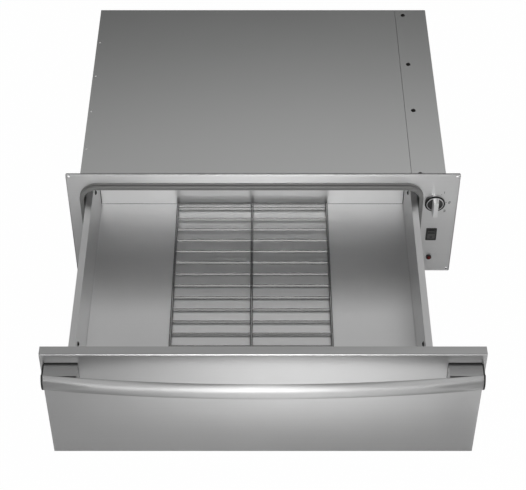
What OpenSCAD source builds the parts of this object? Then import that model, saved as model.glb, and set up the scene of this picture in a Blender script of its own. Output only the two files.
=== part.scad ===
// A built-in warming drawer, shown drawn out, with its controls to the right of the cavity.
// X runs to the right, Y into the cabinet and Z up. The origin is the centre of the four
// cabinet screws, on the back face of the front flange.

/* [Cavity mouth] */
// Width of the mouth
mouth_w = 644; // [600:1:700]
// Height of the mouth
mouth_h = 203; // [195:1:210]
// Radius of the mouth's corners
mouth_r = 26; // [12:1:30]
// Width of the seal round the mouth
seal_w = 8.5; // [7:0.5:9]
// How far the seal stands proud of the flange
seal_proud = 12.5; // [11.5:0.5:15]

/* [Front flange] */
// Width of the flange to the left of the mouth
left_border = 32; // [29:1:40]
// Width of the flange to the right of the mouth, where the controls are
control_border = 76; // [74:1:90]
// Height of the flange above and below the mouth
flange_border = 30; // [28:1:40]
// Sheet thickness of the flange
flange_t = 1.2; // [0.8:0.1:2]
// Diameter of the cabinet screw holes
screw_hole_d = 5; // [4:0.5:6]
// Distance from the flange's edges to the cabinet screw holes
screw_inset = 6; // [5:0.5:9]

/* [Case] */
// Distance from the mouth's left edge out to the case
case_side = 6; // [6:0.5:16]
// Distance from the mouth's right edge out to the case, which is the control bay's width
bay_side = 50; // [48:1:60]
// Distance from the mouth's top and bottom out to the case
case_rise = 18; // [17:0.5:26]
// Thickness of the case's steel sheet
sheet_t = 1; // [0.8:0.1:1.2]
// Width of the control cover's strip on top of the case
cover_w = 66; // [58:1:72]
// Thickness of the cavity liner's sheet
liner_t = 0.8; // [0.6:0.1:1]
// Room between the drawer's rear wall and the liner when shut
rear_gap = 5; // [3:0.5:20]
// Thickness of the insulation behind the liner
back_insulation = 8; // [5:0.5:25]
// Thickness of the insulation between the liner and the control bay
bay_insulation = 6; // [4:0.5:8]

/* [Drawer] */
// How far the drawer is drawn out
open_travel = 421; // [300:1:421]
// Inner length of the drawer
drawer_l = 534; // [525:1:545]
// Inner depth of the drawer, from the rims to the floor
drawer_h = 118; // [105:1:125]
// Thickness of the drawer's sheet
drawer_t = 1; // [0.8:0.1:1.2]
// Width of the folded rims, from the wall's inner face
rim_w = 12; // [11:0.5:14]
// Height of the lip folded down at a rim's outer edge
rim_lip = 3; // [1.5:0.5:3.5]
// Side room between the rims and the mouth
rim_gap = 4; // [3:0.5:5]
// Distance from the top of the mouth down to the rims
rim_drop = 25; // [20:1:30]

/* [Drawer front] */
// How far the drawer front reaches past the flange on each side
front_side = 2; // [1:0.5:6]
// How far the drawer front is taller than the flange, shared by top and bottom
front_lap = 8; // [6:0.5:14]
// Depth of the drawer front
front_d = 18; // [16:1:24]
// Thickness of the front's outer skin
front_t = 1.2; // [1:0.1:2]
// Height of the front's middle above the flange's middle
front_rise = 1; // [0:0.5:3]
// Radius of the front's long edges
front_edge_r = 3; // [1.5:0.5:5]

/* [Handle] */
// Distance from the front's ends to the handle's ends
handle_inset = 4; // [2:0.5:30]
// Height of the handle bar
handle_h = 38; // [30:1:42]
// Distance from the front's top edge down to the bar
handle_drop = 21.5; // [15:0.5:40]
// How far the bar bows out at its middle
handle_bow = 20; // [8:1:35]
// How far the bar's face bulges between its edges
handle_bulge = 11; // [8:0.5:15]
// Length of each handle post along the bar
post_w = 57; // [40:1:80]
// Depth of the handle posts
post_d = 26; // [22:1:34]
// Thickness of the handle's end caps
cap_t = 3; // [2:0.5:5]

/* [Slides] */
// How much shorter the slides are than the drawer
slide_spare = 34; // [24:1:54]
// Height of the slides
slide_h = 45; // [42:1:46]
// Thickness of the slides
slide_w = 12.7; // [12.5:0.1:13.2]
// Distance from the rims down to the slides' middle
slide_drop = 26.5; // [26.5:0.5:30]

/* [Controls] */
// Distance from the mouth's right edge to the controls' middle
control_in = 32; // [30:0.5:32]
// Height of the knob
knob_z = 60; // [50:1:70]
// Outer diameter of the ring round the knob
knob_d = 38.7; // [36:0.1:40]
// How far the knob stands proud of the flange at its rim
knob_proud = 8.2; // [7.5:0.1:10]
// Travel of the knob when it is pushed in
knob_push = 2.5; // [1.5:0.1:2.8]
// Length of the knob's grip
grip_l = 37; // [30:0.5:40]
// Width of the grip at its root
grip_w = 11.7; // [10:0.1:13]
// Width of the grip at its outer face
grip_tip_w = 8.8; // [7:0.1:10]
// How far the grip stands proud of the knob's rim
grip_proud = 17; // [12:0.5:20]
// Height of the rocker switch
switch_z = -28; // [-36:1:-10]
// Width of the switch's frame
switch_w = 21; // [20:0.5:24]
// Height of the switch's frame
switch_h = 32; // [31:0.5:36]
// Tilt of the rocker to either side
rocker_tilt = 8; // [4:1:9]
// Height of the indicator lamp
lamp_z = -91; // [-100:1:-70]
// Diameter of the lamp's bezel
lamp_d = 10.6; // [10.2:0.1:12]
// How far the lamp's lens stands proud of the flange
lamp_proud = 8; // [6:0.5:10]

/* [Rack] */
// Width of the rack between its outer wires
rack_w = 300; // [250:1:400]
// Distance from the drawer front to the rack's front end
rack_front_gap = 19; // [11:1:46]
// Diameter of the long wires
long_wire = 5; // [4:0.5:6]
// Diameter of the cross wires
cross_wire = 4; // [3:0.5:4]
// Number of cross wires between the end wires
cross_count = 17; // [8:1:20]
// Height of the cross wires' middle above the drawer's floor
rack_lift = 3.8; // [3.5:0.1:10]

/* [Heating] */
// Diameter of the heating element's tube
element_d = 8; // [6:0.5:9]
// Distance between the element's legs
element_pitch = 100; // [80:1:110]
// Height of the element's middle above the liner's bottom
element_lift = 17; // [12:0.5:24]

/* [Hidden] */
$fn = 48;

// Running gap between pieces that move past each other
run_gap = 0.3;
// Radial clearance of a shaft in its bearing
shaft_gap = 0.05;
// Clearance round a piece that is pushed into a hole
hole_gap = 0.1;
// How far a cut runs past the faces that it goes through
overrun = 1;

// Places worked out from the mouth, the flange, the case and the drawer
mouth_x = (left_border - control_border) / 2;
mouth_left = mouth_x - mouth_w / 2;
mouth_right = mouth_x + mouth_w / 2;
flange_w = mouth_w + left_border + control_border;
flange_h = mouth_h + 2 * flange_border;
case_left = mouth_left - case_side;
case_right = mouth_right + bay_side;
case_h = mouth_h + 2 * case_rise;
front_w = flange_w + 2 * front_side;
front_h = flange_h + front_lap;
control_x = mouth_right + control_in;
liner_gap = 1;
liner_left = mouth_left - liner_gap;
liner_right = mouth_right + liner_gap;
liner_top = mouth_h / 2 + liner_gap;
seal_face = -flange_t - seal_proud;
shut_y = seal_face - run_gap;
drawer_back = shut_y + drawer_l;
liner_d = drawer_back + drawer_t + rear_gap;
case_d = liner_d + liner_t + back_insulation + sheet_t;
divider_x = liner_right + liner_t + bay_insulation;
bay_x = divider_x + sheet_t;
rim_z = mouth_h / 2 - rim_drop;
floor_z = rim_z - drawer_h;
wall_x = mouth_w / 2 - rim_gap - rim_w;
face_y = shut_y - front_d;
slide_l = drawer_l - slide_spare;

// A box between two opposite corners
module block(low, high) {
    translate(low) cube(high - low);
}

// Round bars along X, Y and Z
module rod_x(r, x0, x1, y, z) {
    translate([x0, y, z]) rotate([0, 90, 0]) cylinder(r = r, h = x1 - x0);
}
module rod_y(r, y0, y1, x, z) {
    translate([x, y0, z]) rotate([-90, 0, 0]) cylinder(r = r, h = y1 - y0);
}
module rod_z(r, z0, z1, x, y) {
    translate([x, y, z0]) cylinder(r = r, h = z1 - z0);
}

// An outline drawn in X and Z, carried along Y from y0 to y1
module slab(y0, y1) {
    translate([0, y1, 0]) rotate([90, 0, 0]) linear_extrude(y1 - y0) children();
}

// An outline drawn in Y and Z, carried along X from x0 to x1
module strip(x0, x1) {
    translate([x0, 0, 0]) rotate([90, 0, 90]) linear_extrude(x1 - x0) children();
}

module round_rect(w, h, r) {
    square([w - 2 * r, h], center = true);
    square([w, h - 2 * r], center = true);
    for (sx = [-1, 1], sz = [-1, 1]) {
        translate([sx * (w / 2 - r), sz * (h / 2 - r)]) circle(r = r);
    }
}

// Moves what the drawer carries out by a share of its travel: the middle slide members go
// half as far as the drawer, and the ball cages half way between their two members
middle_share = 0.5;
outer_cage_share = 0.25;
inner_cage_share = 0.75;
module drawn(travel_share) {
    translate([0, -open_travel * travel_share, 0]) children();
}

// The mirror image on the right-hand side of the cavity
module on_right() {
    translate([2 * mouth_x, 0, 0]) mirror([1, 0, 0]) children();
}
module on_both_sides() {
    children();
    on_right() children();
}

// Carries a section round a rounded rectangle: the section's X points outwards and
// its Y stands up from the plane
module ring_along(w, h, r) {
    for (k = [0 : 3]) {
        along = (k % 2 == 0) ? w - 2 * r : h - 2 * r;
        out = (k % 2 == 0) ? h / 2 : w / 2;
        rotate(90 * k) {
            translate([-along / 2, out, 0]) rotate([90, 0, 90]) linear_extrude(along) children();
            translate([along / 2, out - r, 0]) rotate_extrude(angle = 90) translate([r, 0]) children();
        }
    }
}

// Front flange
control_hole_gap = 0.2;
bushing_r = 5;
switch_wall = 1.5;
switch_lip = 1.5;
lamp_lip = 0.8;
switch_body_w = switch_w - 2 * switch_lip;
switch_body_h = switch_h - 2 * switch_lip;
lamp_body_r = lamp_d / 2 - lamp_lip;

module front_flange() {
    color("silver") slab(-flange_t, 0) difference() {
        square([flange_w, flange_h], center = true);
        translate([mouth_x, 0]) round_rect(mouth_w, mouth_h, mouth_r);
        for (sx = [-1, 1], sz = [-1, 1]) {
            translate([sx * (flange_w / 2 - screw_inset), sz * (flange_h / 2 - screw_inset)])
                circle(d = screw_hole_d);
        }
        translate([control_x, knob_z]) circle(r = bushing_r + control_hole_gap);
        translate([control_x, switch_z])
            square([switch_body_w + 2 * control_hole_gap, switch_body_h + 2 * control_hole_gap],
                center = true);
        translate([control_x, lamp_z]) circle(r = lamp_body_r + control_hole_gap);
    }
}

// Seal round the mouth: a flat core with two round beads on its outer side
bead_share = 0.208;
groove_share = 0.6;
bead_r = seal_proud * bead_share;

module seal_section() {
    square([seal_w - bead_r, seal_proud]);
    for (v = [bead_r, seal_proud - bead_r]) translate([seal_w - bead_r, v]) circle(r = bead_r);
}
module seal_groove() {
    groove_h = seal_proud - 4 * bead_r;
    translate([seal_w - bead_r - groove_share * bead_r, seal_proud / 2 - groove_h / 2])
        square([2 * bead_r, groove_h]);
}
module cavity_seal() {
    color("dimgray") translate([mouth_x, -flange_t, 0]) rotate([90, 0, 0])
        ring_along(mouth_w, mouth_h, mouth_r) difference() {
            seal_section();
            seal_groove();
        }
}

// Cavity liner: a folded tube with a lip that lies on the back of the flange
liner_lip = 3;
tube_hole_gap = 2;
capillary_r = 1;

module liner_outline(grow) {
    w = liner_right - liner_left + 2 * grow;
    translate([mouth_x, 0]) square([w, 2 * (liner_top + grow)], center = true);
}
module cavity_liner() {
    color("lightgray") difference() {
        union() {
            slab(0, liner_t) difference() {
                liner_outline(liner_t + liner_lip);
                liner_outline(0);
            }
            slab(0, liner_d) difference() {
                liner_outline(liner_t);
                liner_outline(0);
            }
        }
        for (y = [element_y(0), element_y(element_legs - 1)]) {
            rod_x(insulator_r + hole_gap, liner_right - overrun, liner_right + liner_t + overrun,
                y, element_z);
        }
        rod_x(capillary_r + tube_hole_gap, liner_right - overrun, liner_right + liner_t + overrun,
            capillary_y, bulb_z);
    }
}
module liner_back() {
    color("lightgray") slab(liner_d, liner_d + liner_t) liner_outline(liner_t);
}

// Heat reflector: a shallow tray on the bottom of the cavity
reflector_t = 0.6;
reflector_edge = 8;
reflector_margin = 12;
reflector_front = 40;
reflector_rear_gap = 40;

module heat_reflector() {
    x0 = liner_left + reflector_margin;
    x1 = liner_right - reflector_margin;
    y0 = reflector_front;
    y1 = liner_d - reflector_rear_gap;
    z0 = -liner_top;
    t = reflector_t;
    color("gainsboro") difference() {
        block([x0, y0, z0], [x1, y1, z0 + reflector_edge]);
        block([x0 + t, y0 + t, z0 + t], [x1 - t, y1 - t, z0 + reflector_edge + overrun]);
    }
}

// Heating element: legs along X joined by half turns, both ends in the control bay
element_legs = 4;
element_front = 110;
element_left_room = 45;
element_right_room = 45;
element_tail = 9;
element_r = element_d / 2;
element_z = -liner_top + element_lift;
bend_r = element_pitch / 2;
leg_left = liner_left + element_left_room + bend_r;
leg_right = liner_right - element_right_room - bend_r;
element_end = bay_x + element_tail;
function element_y(leg) = element_front + leg * element_pitch;

module half_turn(x, y, side) {
    translate([x, y, element_z]) rotate(side < 0 ? 90 : -90)
        rotate_extrude(angle = 180) translate([bend_r, 0]) circle(r = element_r);
}
module heating_element() {
    color("slategray") {
        for (leg = [0 : element_legs - 1]) {
            open_end = leg == 0 || leg == element_legs - 1;
            rod_x(element_r, leg_left, open_end ? element_end : leg_right, element_y(leg), element_z);
        }
        for (leg = [0 : element_legs - 2]) {
            turn_left = leg % 2 == 0;
            half_turn(turn_left ? leg_left : leg_right, element_y(leg) + bend_r, turn_left ? -1 : 1);
        }
    }
}

clip_t = 1.2;
clip_w = 16;
clip_head = 7;
clip_foot = 14;
clip_room_share = 0.12;
module element_clip(x, y) {
    z0 = -liner_top + reflector_t;
    difference() {
        union() {
            block([x, y - clip_w / 2, z0], [x + clip_t, y + clip_w / 2, element_z + clip_head]);
            block([x, y - clip_w / 2, z0], [x + clip_foot, y + clip_w / 2, z0 + clip_t]);
        }
        rod_x(element_r + hole_gap, x - overrun, x + clip_t + overrun, y, element_z);
    }
}
module element_clips() {
    run = leg_right - leg_left;
    color("darkgray") for (leg = [0 : element_legs - 1], u = [clip_room_share, 1 - clip_room_share]) {
        element_clip(leg_left + run * u, element_y(leg));
    }
}

insulator_r = 7;
insulator_head_r = 9;
insulator_head_t = 3;
module element_bushings() {
    color("white") for (y = [element_y(0), element_y(element_legs - 1)]) difference() {
        union() {
            rod_x(insulator_r, liner_right, bay_x + insulator_head_t, y, element_z);
            rod_x(insulator_head_r, bay_x, bay_x + insulator_head_t, y, element_z);
        }
        rod_x(element_r + hole_gap, liner_right - overrun, bay_x + insulator_head_t + overrun,
            y, element_z);
    }
}

// Insulation: slabs above, below, left, right and behind the liner, clear of the screws' tips
wrap_gap = 0.3;
module insulation() {
    case_in_left = case_left + sheet_t;
    x0 = liner_left - liner_t;
    x1 = liner_right + liner_t;
    y0 = liner_t + wrap_gap;
    y1 = liner_d + liner_t;
    liner_z = liner_top + liner_t + wrap_gap;
    z0 = -case_h / 2 + 2 * sheet_t + wrap_gap;
    z1 = case_h / 2 - screw_neck - wrap_gap;
    color("khaki") {
        block([x0, y0, liner_z], [x1, y1, z1]);
        block([x0, y0, z0], [x1, y1, -liner_z]);
        block([case_in_left + wrap_gap, y0, z0],
            [x0 - wrap_gap, case_d - back_lip_l - wrap_gap, z1]);
        difference() {
            block([x1 + wrap_gap, y0, z0], [divider_x - wrap_gap, y1, z1]);
            for (y = [element_y(0), element_y(element_legs - 1)]) {
                rod_x(insulator_r + wrap_gap, x1 - overrun, divider_x + overrun, y, element_z);
            }
            rod_x(capillary_r + tube_hole_gap, x1 - overrun, divider_x + overrun, capillary_y, bulb_z);
        }
        block([case_in_left + back_lip_t + wrap_gap, y1 + wrap_gap, z0],
            [divider_x - wrap_gap, case_d - sheet_t - wrap_gap, z1]);
    }
}

// Case: top, left side, bottom, back, divider and the control cover
side_flange = 14;
divider_foot = 12;
divider_overlap = 26;
back_lip_t = sheet_t;
back_lip_l = 14;
back_lip_inset = 9;
side_tab = 10;
seam_gap = 0.4;
case_top_z = case_h / 2;
seam_x = case_right - cover_w;

module case_top() {
    color("gray") difference() {
        block([case_left, 0, case_top_z - sheet_t], [seam_x - seam_gap, case_d, case_top_z]);
        for (y = rivet_places) {
            rod_z(rivet_r + hole_gap, case_top_z - sheet_t - overrun, case_top_z + overrun, rivet_x, y);
        }
    }
}
module case_left_side() {
    z1 = case_top_z - sheet_t;
    y1 = case_d - sheet_t;
    color("gray") difference() {
        union() {
            block([case_left, 0, -z1], [case_left + sheet_t, y1, z1]);
            block([case_left, 0, z1 - sheet_t], [case_left + side_flange, y1, z1]);
            block([case_left, 0, -z1], [case_left + side_flange, y1, -z1 + sheet_t]);
            block([case_left - side_tab, 0, -z1], [case_left, sheet_t, z1]);
        }
        for (y = rivet_places) {
            rod_z(rivet_r + hole_gap, z1 - sheet_t - overrun, z1 + overrun, rivet_x, y);
        }
    }
}
module case_bottom() {
    color("gray") block([case_left, 0, -case_top_z], [case_right, case_d, -case_top_z + sheet_t]);
}
module case_back() {
    z1 = case_top_z - sheet_t;
    color("gray") difference() {
        union() {
            block([case_left, case_d - sheet_t, -z1], [case_right, case_d, z1]);
            for (side = [-1, 1]) {
                x = side < 0 ? case_left + sheet_t : case_right - sheet_t - back_lip_t;
                block([x, case_d - back_lip_l, -z1 + back_lip_inset],
                    [x + back_lip_t, case_d - sheet_t, z1 - back_lip_inset]);
            }
        }
        rod_y(cord_bushing_r + hole_gap, case_d - sheet_t - overrun, case_d + overrun, cord_x, cord_z);
        for (p = back_screw_places) {
            rod_y(screw_r + hole_gap, case_d - sheet_t - overrun, case_d + overrun, p[0], p[1]);
        }
        for (sz = [-1, 1]) {
            rod_x(screw_r + hole_gap, case_right - 2 * sheet_t - overrun, case_right + overrun,
                side_screw_y, sz * side_screw_z);
        }
    }
}
module bay_divider() {
    z1 = case_top_z - sheet_t;
    y1 = case_d - sheet_t;
    color("darkgray") difference() {
        union() {
            block([divider_x, 0, -z1], [bay_x, y1, z1]);
            block([bay_x - divider_overlap - sheet_t, 0, z1 - sheet_t], [bay_x, y1, z1]);
            block([divider_x, 0, -z1], [bay_x + divider_foot, y1, -z1 + sheet_t]);
            block([divider_x, y1 - sheet_t, -z1 + back_lip_inset],
                [bay_x + divider_foot, y1, z1 - back_lip_inset]);
        }
        for (y = [element_y(0), element_y(element_legs - 1)]) {
            rod_x(insulator_r + hole_gap, divider_x - overrun, bay_x + overrun, y, element_z);
        }
        rod_x(capillary_r + tube_hole_gap, divider_x - overrun, bay_x + overrun, capillary_y, bulb_z);
        for (y = cover_screw_places) {
            rod_z(screw_r + hole_gap, z1 - sheet_t - overrun, z1 + overrun, cover_screw_x, y);
        }
        for (p = back_screw_places) {
            rod_y(screw_r + hole_gap, y1 - sheet_t - overrun, y1 + overrun, p[0], p[1]);
        }
    }
}
module control_cover() {
    z1 = case_top_z - sheet_t;
    y1 = case_d - sheet_t;
    color("gray") difference() {
        union() {
            block([seam_x, 0, z1], [case_right, case_d, case_top_z]);
            block([case_right - sheet_t, 0, -z1], [case_right, y1, z1]);
            block([case_right - side_flange, 0, -z1], [case_right, y1 - back_lip_l, -z1 + sheet_t]);
        }
        for (y = cover_screw_places) {
            rod_z(screw_r + hole_gap, z1 - overrun, case_top_z + overrun, cover_screw_x, y);
        }
        for (sz = [-1, 1]) {
            rod_x(screw_r + hole_gap, case_right - sheet_t - overrun, case_right + overrun,
                side_screw_y, sz * side_screw_z);
        }
    }
}

// Round-head screws of the cover and the back, and the rivets of the top
screw_r = 1.9;
screw_head_r = 4;
screw_head_t = 2.4;
screw_neck = 4;
cover_screw_inset = 7;
cover_screw_x = divider_x - cover_screw_inset;
cover_screw_shares = [0.025, 0.375, 0.65, 0.965];
cover_screw_places = [for (s = cover_screw_shares) case_d * s];
side_screw_y = case_d - back_lip_l / 2;
side_screw_z = case_top_z - 3 * back_lip_inset;
back_screw_x = bay_x + divider_foot / 2;
back_screw_places = [
    [back_screw_x, case_top_z - 3 * back_lip_inset],
    [back_screw_x, -case_top_z + 3 * back_lip_inset]
];
rivet_r = 1.6;
rivet_head_r = 2.2;
rivet_head_t = 0.8;
rivet_inset = 6;
rivet_x = case_left + rivet_inset;
rivet_front = 85.5;
rivet_pitch = 112;
rivet_places = [rivet_front : rivet_pitch : case_d - rivet_front];

// A screw that stands along +Z with its head at the origin's upper side
module round_screw(neck) {
    translate([0, 0, -neck]) cylinder(r = screw_r, h = neck);
    intersection() {
        translate([0, 0, screw_head_t - head_ball_r()]) sphere(r = head_ball_r());
        cylinder(r = screw_head_r, h = screw_head_t);
    }
}
function head_ball_r() = (screw_head_r * screw_head_r + screw_head_t * screw_head_t) / (2 * screw_head_t);

module case_screws() {
    color("dimgray") {
        for (y = cover_screw_places) {
            translate([cover_screw_x, y, case_top_z]) round_screw(screw_neck);
        }
        for (p = back_screw_places) {
            translate([p[0], case_d, p[1]]) rotate([-90, 0, 0]) round_screw(screw_neck);
        }
        for (sz = [-1, 1]) {
            translate([case_right, side_screw_y, sz * side_screw_z]) rotate([0, 90, 0])
                round_screw(screw_neck);
        }
    }
}
module top_rivets() {
    color("white") for (y = rivet_places) {
        rod_z(rivet_r, case_top_z - 2 * sheet_t, case_top_z, rivet_x, y);
        rod_z(rivet_head_r, case_top_z, case_top_z + rivet_head_t, rivet_x, y);
    }
}

// Thermostat: body with a threaded bushing, back with two blades, nut, rotor and shaft
thermostat_w = 32;
thermostat_h = 40;
thermostat_d = 30;
thermostat_back_t = 5;
bushing_proud = 2.6;
nut_af = 14;
nut_t = 2.2;
rotor_r = 10.7;
rotor_front = 9;
rotor_rear = 24;
shaft_r = 3;
shaft_flat = 0.8;
shaft_rear = 20;
blade_w = 6.3;
blade_t = 0.8;
blade_l = 9;

module thermostat_body() {
    color("tan") difference() {
        union() {
            block([control_x - thermostat_w / 2, 0, knob_z - thermostat_h / 2],
                [control_x + thermostat_w / 2, thermostat_d, knob_z + thermostat_h / 2]);
            rod_y(bushing_r, -flange_t - bushing_proud, 0, control_x, knob_z);
        }
        rod_y(shaft_r + shaft_gap, -flange_t - bushing_proud - overrun, rotor_front, control_x, knob_z);
        rod_y(rotor_r + run_gap, rotor_front - run_gap, thermostat_d + overrun, control_x, knob_z);
    }
}
module thermostat_back() {
    y0 = thermostat_d;
    color("saddlebrown") {
        block([control_x - thermostat_w / 2, y0, knob_z - thermostat_h / 2],
            [control_x + thermostat_w / 2, y0 + thermostat_back_t, knob_z + thermostat_h / 2]);
        for (sz = [-1, 1]) {
            block([control_x - blade_w / 2, y0 + thermostat_back_t, knob_z + sz * thermostat_h / 4],
                [control_x + blade_w / 2, y0 + thermostat_back_t + blade_l,
                    knob_z + sz * thermostat_h / 4 + blade_t]);
        }
    }
}
module thermostat_nut() {
    color("silver") difference() {
        translate([control_x, -flange_t, knob_z]) rotate([90, 0, 0])
            cylinder(r = nut_af / 2 / cos(30), h = nut_t, $fn = 6);
        rod_y(bushing_r + hole_gap, -flange_t - nut_t - overrun, 0, control_x, knob_z);
    }
}

// A round shaft with a flat on its right-hand side, cut back by the flat's depth
module flatted(r, y0, y1) {
    difference() {
        rod_y(r, y0, y1, control_x, knob_z);
        block([control_x + r - shaft_flat, y0 - overrun, knob_z - r - overrun],
            [control_x + r + overrun, y1 + overrun, knob_z + r + overrun]);
    }
}
module thermostat_rotor() {
    color("ivory") difference() {
        rod_y(rotor_r, rotor_front, rotor_rear, control_x, knob_z);
        flatted(shaft_r + shaft_gap, rotor_front - overrun, rotor_rear + overrun);
    }
}
module thermostat_shaft() {
    color("silver") flatted(shaft_r, grip_face + grip_wall, shaft_rear);
}

// Knob: fixed ring, turning skirt with a dark dial inside it, and the bar grip
bezel_w = 1.6;
bezel_drop = 1.4;
skirt_gap = 0.4;
skirt_w = 1.9;
skirt_lift = 0.5;
dial_drop = 1.6;
dial_t = 1.2;
grip_wall = 2.4;
grip_hub_r = 5.4;
rim_y = -flange_t - knob_proud;
grip_face = rim_y - grip_proud;
bezel_in = knob_d / 2 - bezel_w;
skirt_r = bezel_in - skirt_gap;
dial_r = skirt_r - skirt_w;
dial_y = rim_y + dial_drop;
grip_root = rim_y + bezel_drop - knob_push - skirt_lift;

module knob_bezel() {
    color("black") difference() {
        rod_y(knob_d / 2, rim_y + bezel_drop, -flange_t, control_x, knob_z);
        rod_y(bezel_in, rim_y - overrun, 0, control_x, knob_z);
    }
}
module knob_skirt() {
    color("gainsboro") difference() {
        rod_y(skirt_r, rim_y, -flange_t - knob_push - skirt_lift, control_x, knob_z);
        rod_y(dial_r, rim_y - overrun, 0, control_x, knob_z);
    }
}
module knob_dial() {
    color("dimgray") difference() {
        rod_y(dial_r, dial_y, dial_y + dial_t, control_x, knob_z);
        rod_y(grip_hub_r, dial_y - overrun, dial_y + dial_t + overrun, control_x, knob_z);
    }
}
module knob_grip() {
    color("white") difference() {
        union() {
            intersection() {
                translate([control_x, 0, knob_z - grip_l / 2]) linear_extrude(grip_l) polygon([
                    [-grip_w / 2, grip_root], [grip_w / 2, grip_root],
                    [grip_tip_w / 2, grip_face], [-grip_tip_w / 2, grip_face]
                ]);
                rod_y(grip_l / 2, grip_face - overrun, 0, control_x, knob_z);
            }
            rod_y(grip_hub_r, grip_root, dial_y + dial_t, control_x, knob_z);
        }
        flatted(shaft_r + shaft_gap, grip_face + grip_wall, overrun);
    }
}

// Sensor bulb in the cavity, its capillary through the liner, and its clips
bulb_r = 3;
bulb_l = 100;
bulb_y = 230;
bulb_drop = 20;
bulb_z = floor_z - bulb_drop;
bulb_stand = 6;
bulb_x = liner_right - bulb_stand;
capillary_lead = 24;
capillary_y = bulb_y - capillary_lead;
bulb_clip_t = 0.8;
bulb_clip_w = 8;
bulb_clip_shares = [0.2, 0.75];
bulb_lead = 8;
// Points of the capillary on its way up to the thermostat, measured from the bay's divider
capillary_rise = [[9, 202, -56], [11, 184, -38], [17, 130, 10], [23, 70, 52]];
function in_bay(points) = [for (p = points) [bay_x + p[0], p[1], p[2]]];
function bulb_route() = concat([
    [bulb_x, bulb_y, bulb_z],
    [bulb_x, bulb_y - bulb_lead, bulb_z],
    [liner_right - bulb_stand / 2, capillary_y + capillary_r, bulb_z],
    [divider_x, capillary_y, bulb_z],
    [bay_x + bulb_lead / 2, capillary_y, bulb_z]
], in_bay(capillary_rise), [
    [control_x, thermostat_d + thermostat_back_t + wire_lead, knob_z],
    [control_x, thermostat_d + thermostat_back_t + wire_gap, knob_z]
]);

// A tube swept along a list of points, with flat ends
tube_sides = 8;
tube_steps = 3;
function unit(v) = v / norm(v);
function tangent(p, i) = unit(p[min(i + 1, len(p) - 1)] - p[max(i - 1, 0)]);
function side_of(t) = unit(cross(t, abs(t[2]) < 0.9 ? [0, 0, 1] : [0, 1, 0]));
function ring(c, t, r, sides) = [for (k = [0 : sides - 1])
    let (a = side_of(t), b = cross(t, a), u = 360 * k / sides) c + r * (cos(u) * a + sin(u) * b)];
function smooth_point(a, b, c, d, u) = 0.5 * (2 * b + (c - a) * u
    + (2 * a - 5 * b + 4 * c - d) * u * u + (3 * b - a - 3 * c + d) * u * u * u);
function smooth(p, n) = [for (i = [0 : len(p) - 2], k = [0 : n - 1])
    smooth_point(p[max(i - 1, 0)], p[i], p[i + 1], p[min(i + 2, len(p) - 1)], k / n), p[len(p) - 1]];
module tube(points, r, sides) {
    n = len(points);
    rings = [for (i = [0 : n - 1]) each ring(points[i], tangent(points, i), r, sides)];
    walls = [for (i = [0 : n - 2], k = [0 : sides - 1])
        let (a = i * sides + k, b = i * sides + (k + 1) % sides) [a, b, b + sides, a + sides]];
    triangles = [for (f = walls) each [[f[0], f[2], f[1]], [f[0], f[3], f[2]]]];
    caps = [[for (k = [0 : sides - 1]) k], [for (k = [sides - 1 : -1 : 0]) (n - 1) * sides + k]];
    polyhedron(rings, concat(triangles, caps), convexity = 4);
}

module sensor_bulb() {
    color("peru") {
        rod_y(bulb_r, bulb_y, bulb_y + bulb_l, bulb_x, bulb_z);
        tube(smooth(bulb_route(), tube_steps), capillary_r, tube_sides);
    }
}
module bulb_clips() {
    color("silver") for (s = bulb_clip_shares) difference() {
        y = bulb_y + bulb_l * s;
        union() {
            rod_y(bulb_r + bulb_clip_t, y, y + bulb_clip_w, bulb_x, bulb_z);
            block([bulb_x, y, bulb_z - bulb_clip_t], [liner_right, y + bulb_clip_w, bulb_z + bulb_clip_t]);
        }
        rod_y(bulb_r + hole_gap, y - overrun, y + bulb_clip_w + overrun, bulb_x, bulb_z);
    }
}

// Safety cut-out on the divider: a round can on a small plate, with two blades
cutout_y = 300;
cutout_z = 10;
cutout_r = 9;
cutout_l = 9;
cutout_plate_t = 1;
cutout_plate_h = 34;
module safety_cutout() {
    color("lightslategray") {
        rod_x(cutout_r, bay_x, bay_x + cutout_l, cutout_y, cutout_z);
        block([bay_x, cutout_y - cutout_r, cutout_z - cutout_plate_h / 2],
            [bay_x + cutout_plate_t, cutout_y + cutout_r, cutout_z + cutout_plate_h / 2]);
        for (s = [-1, 1]) {
            block([bay_x + cutout_l - blade_t, cutout_y + s * cutout_r / 2, cutout_z],
                [bay_x + cutout_l + blade_l, cutout_y + s * cutout_r / 2 + blade_t, cutout_z + blade_w]);
        }
    }
}

// Rocker switch: framed housing pushed into the flange, and the rocker on its pins
switch_body_d = 20;
switch_floor = 3;
rocker_gap = 0.3;
pivot_y = 3;
pin_r = 1.5;
pin_reach = 1.1;
rocker_room_w = switch_body_w - 2 * switch_wall;
rocker_room_h = switch_body_h - 2 * switch_wall;
rocker_w = rocker_room_w - 2 * rocker_gap;
rocker_end_gap = 1.3;
rocker_crest = 1.2;
rocker_belly = 3;
frame_proud = 1.6;

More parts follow.
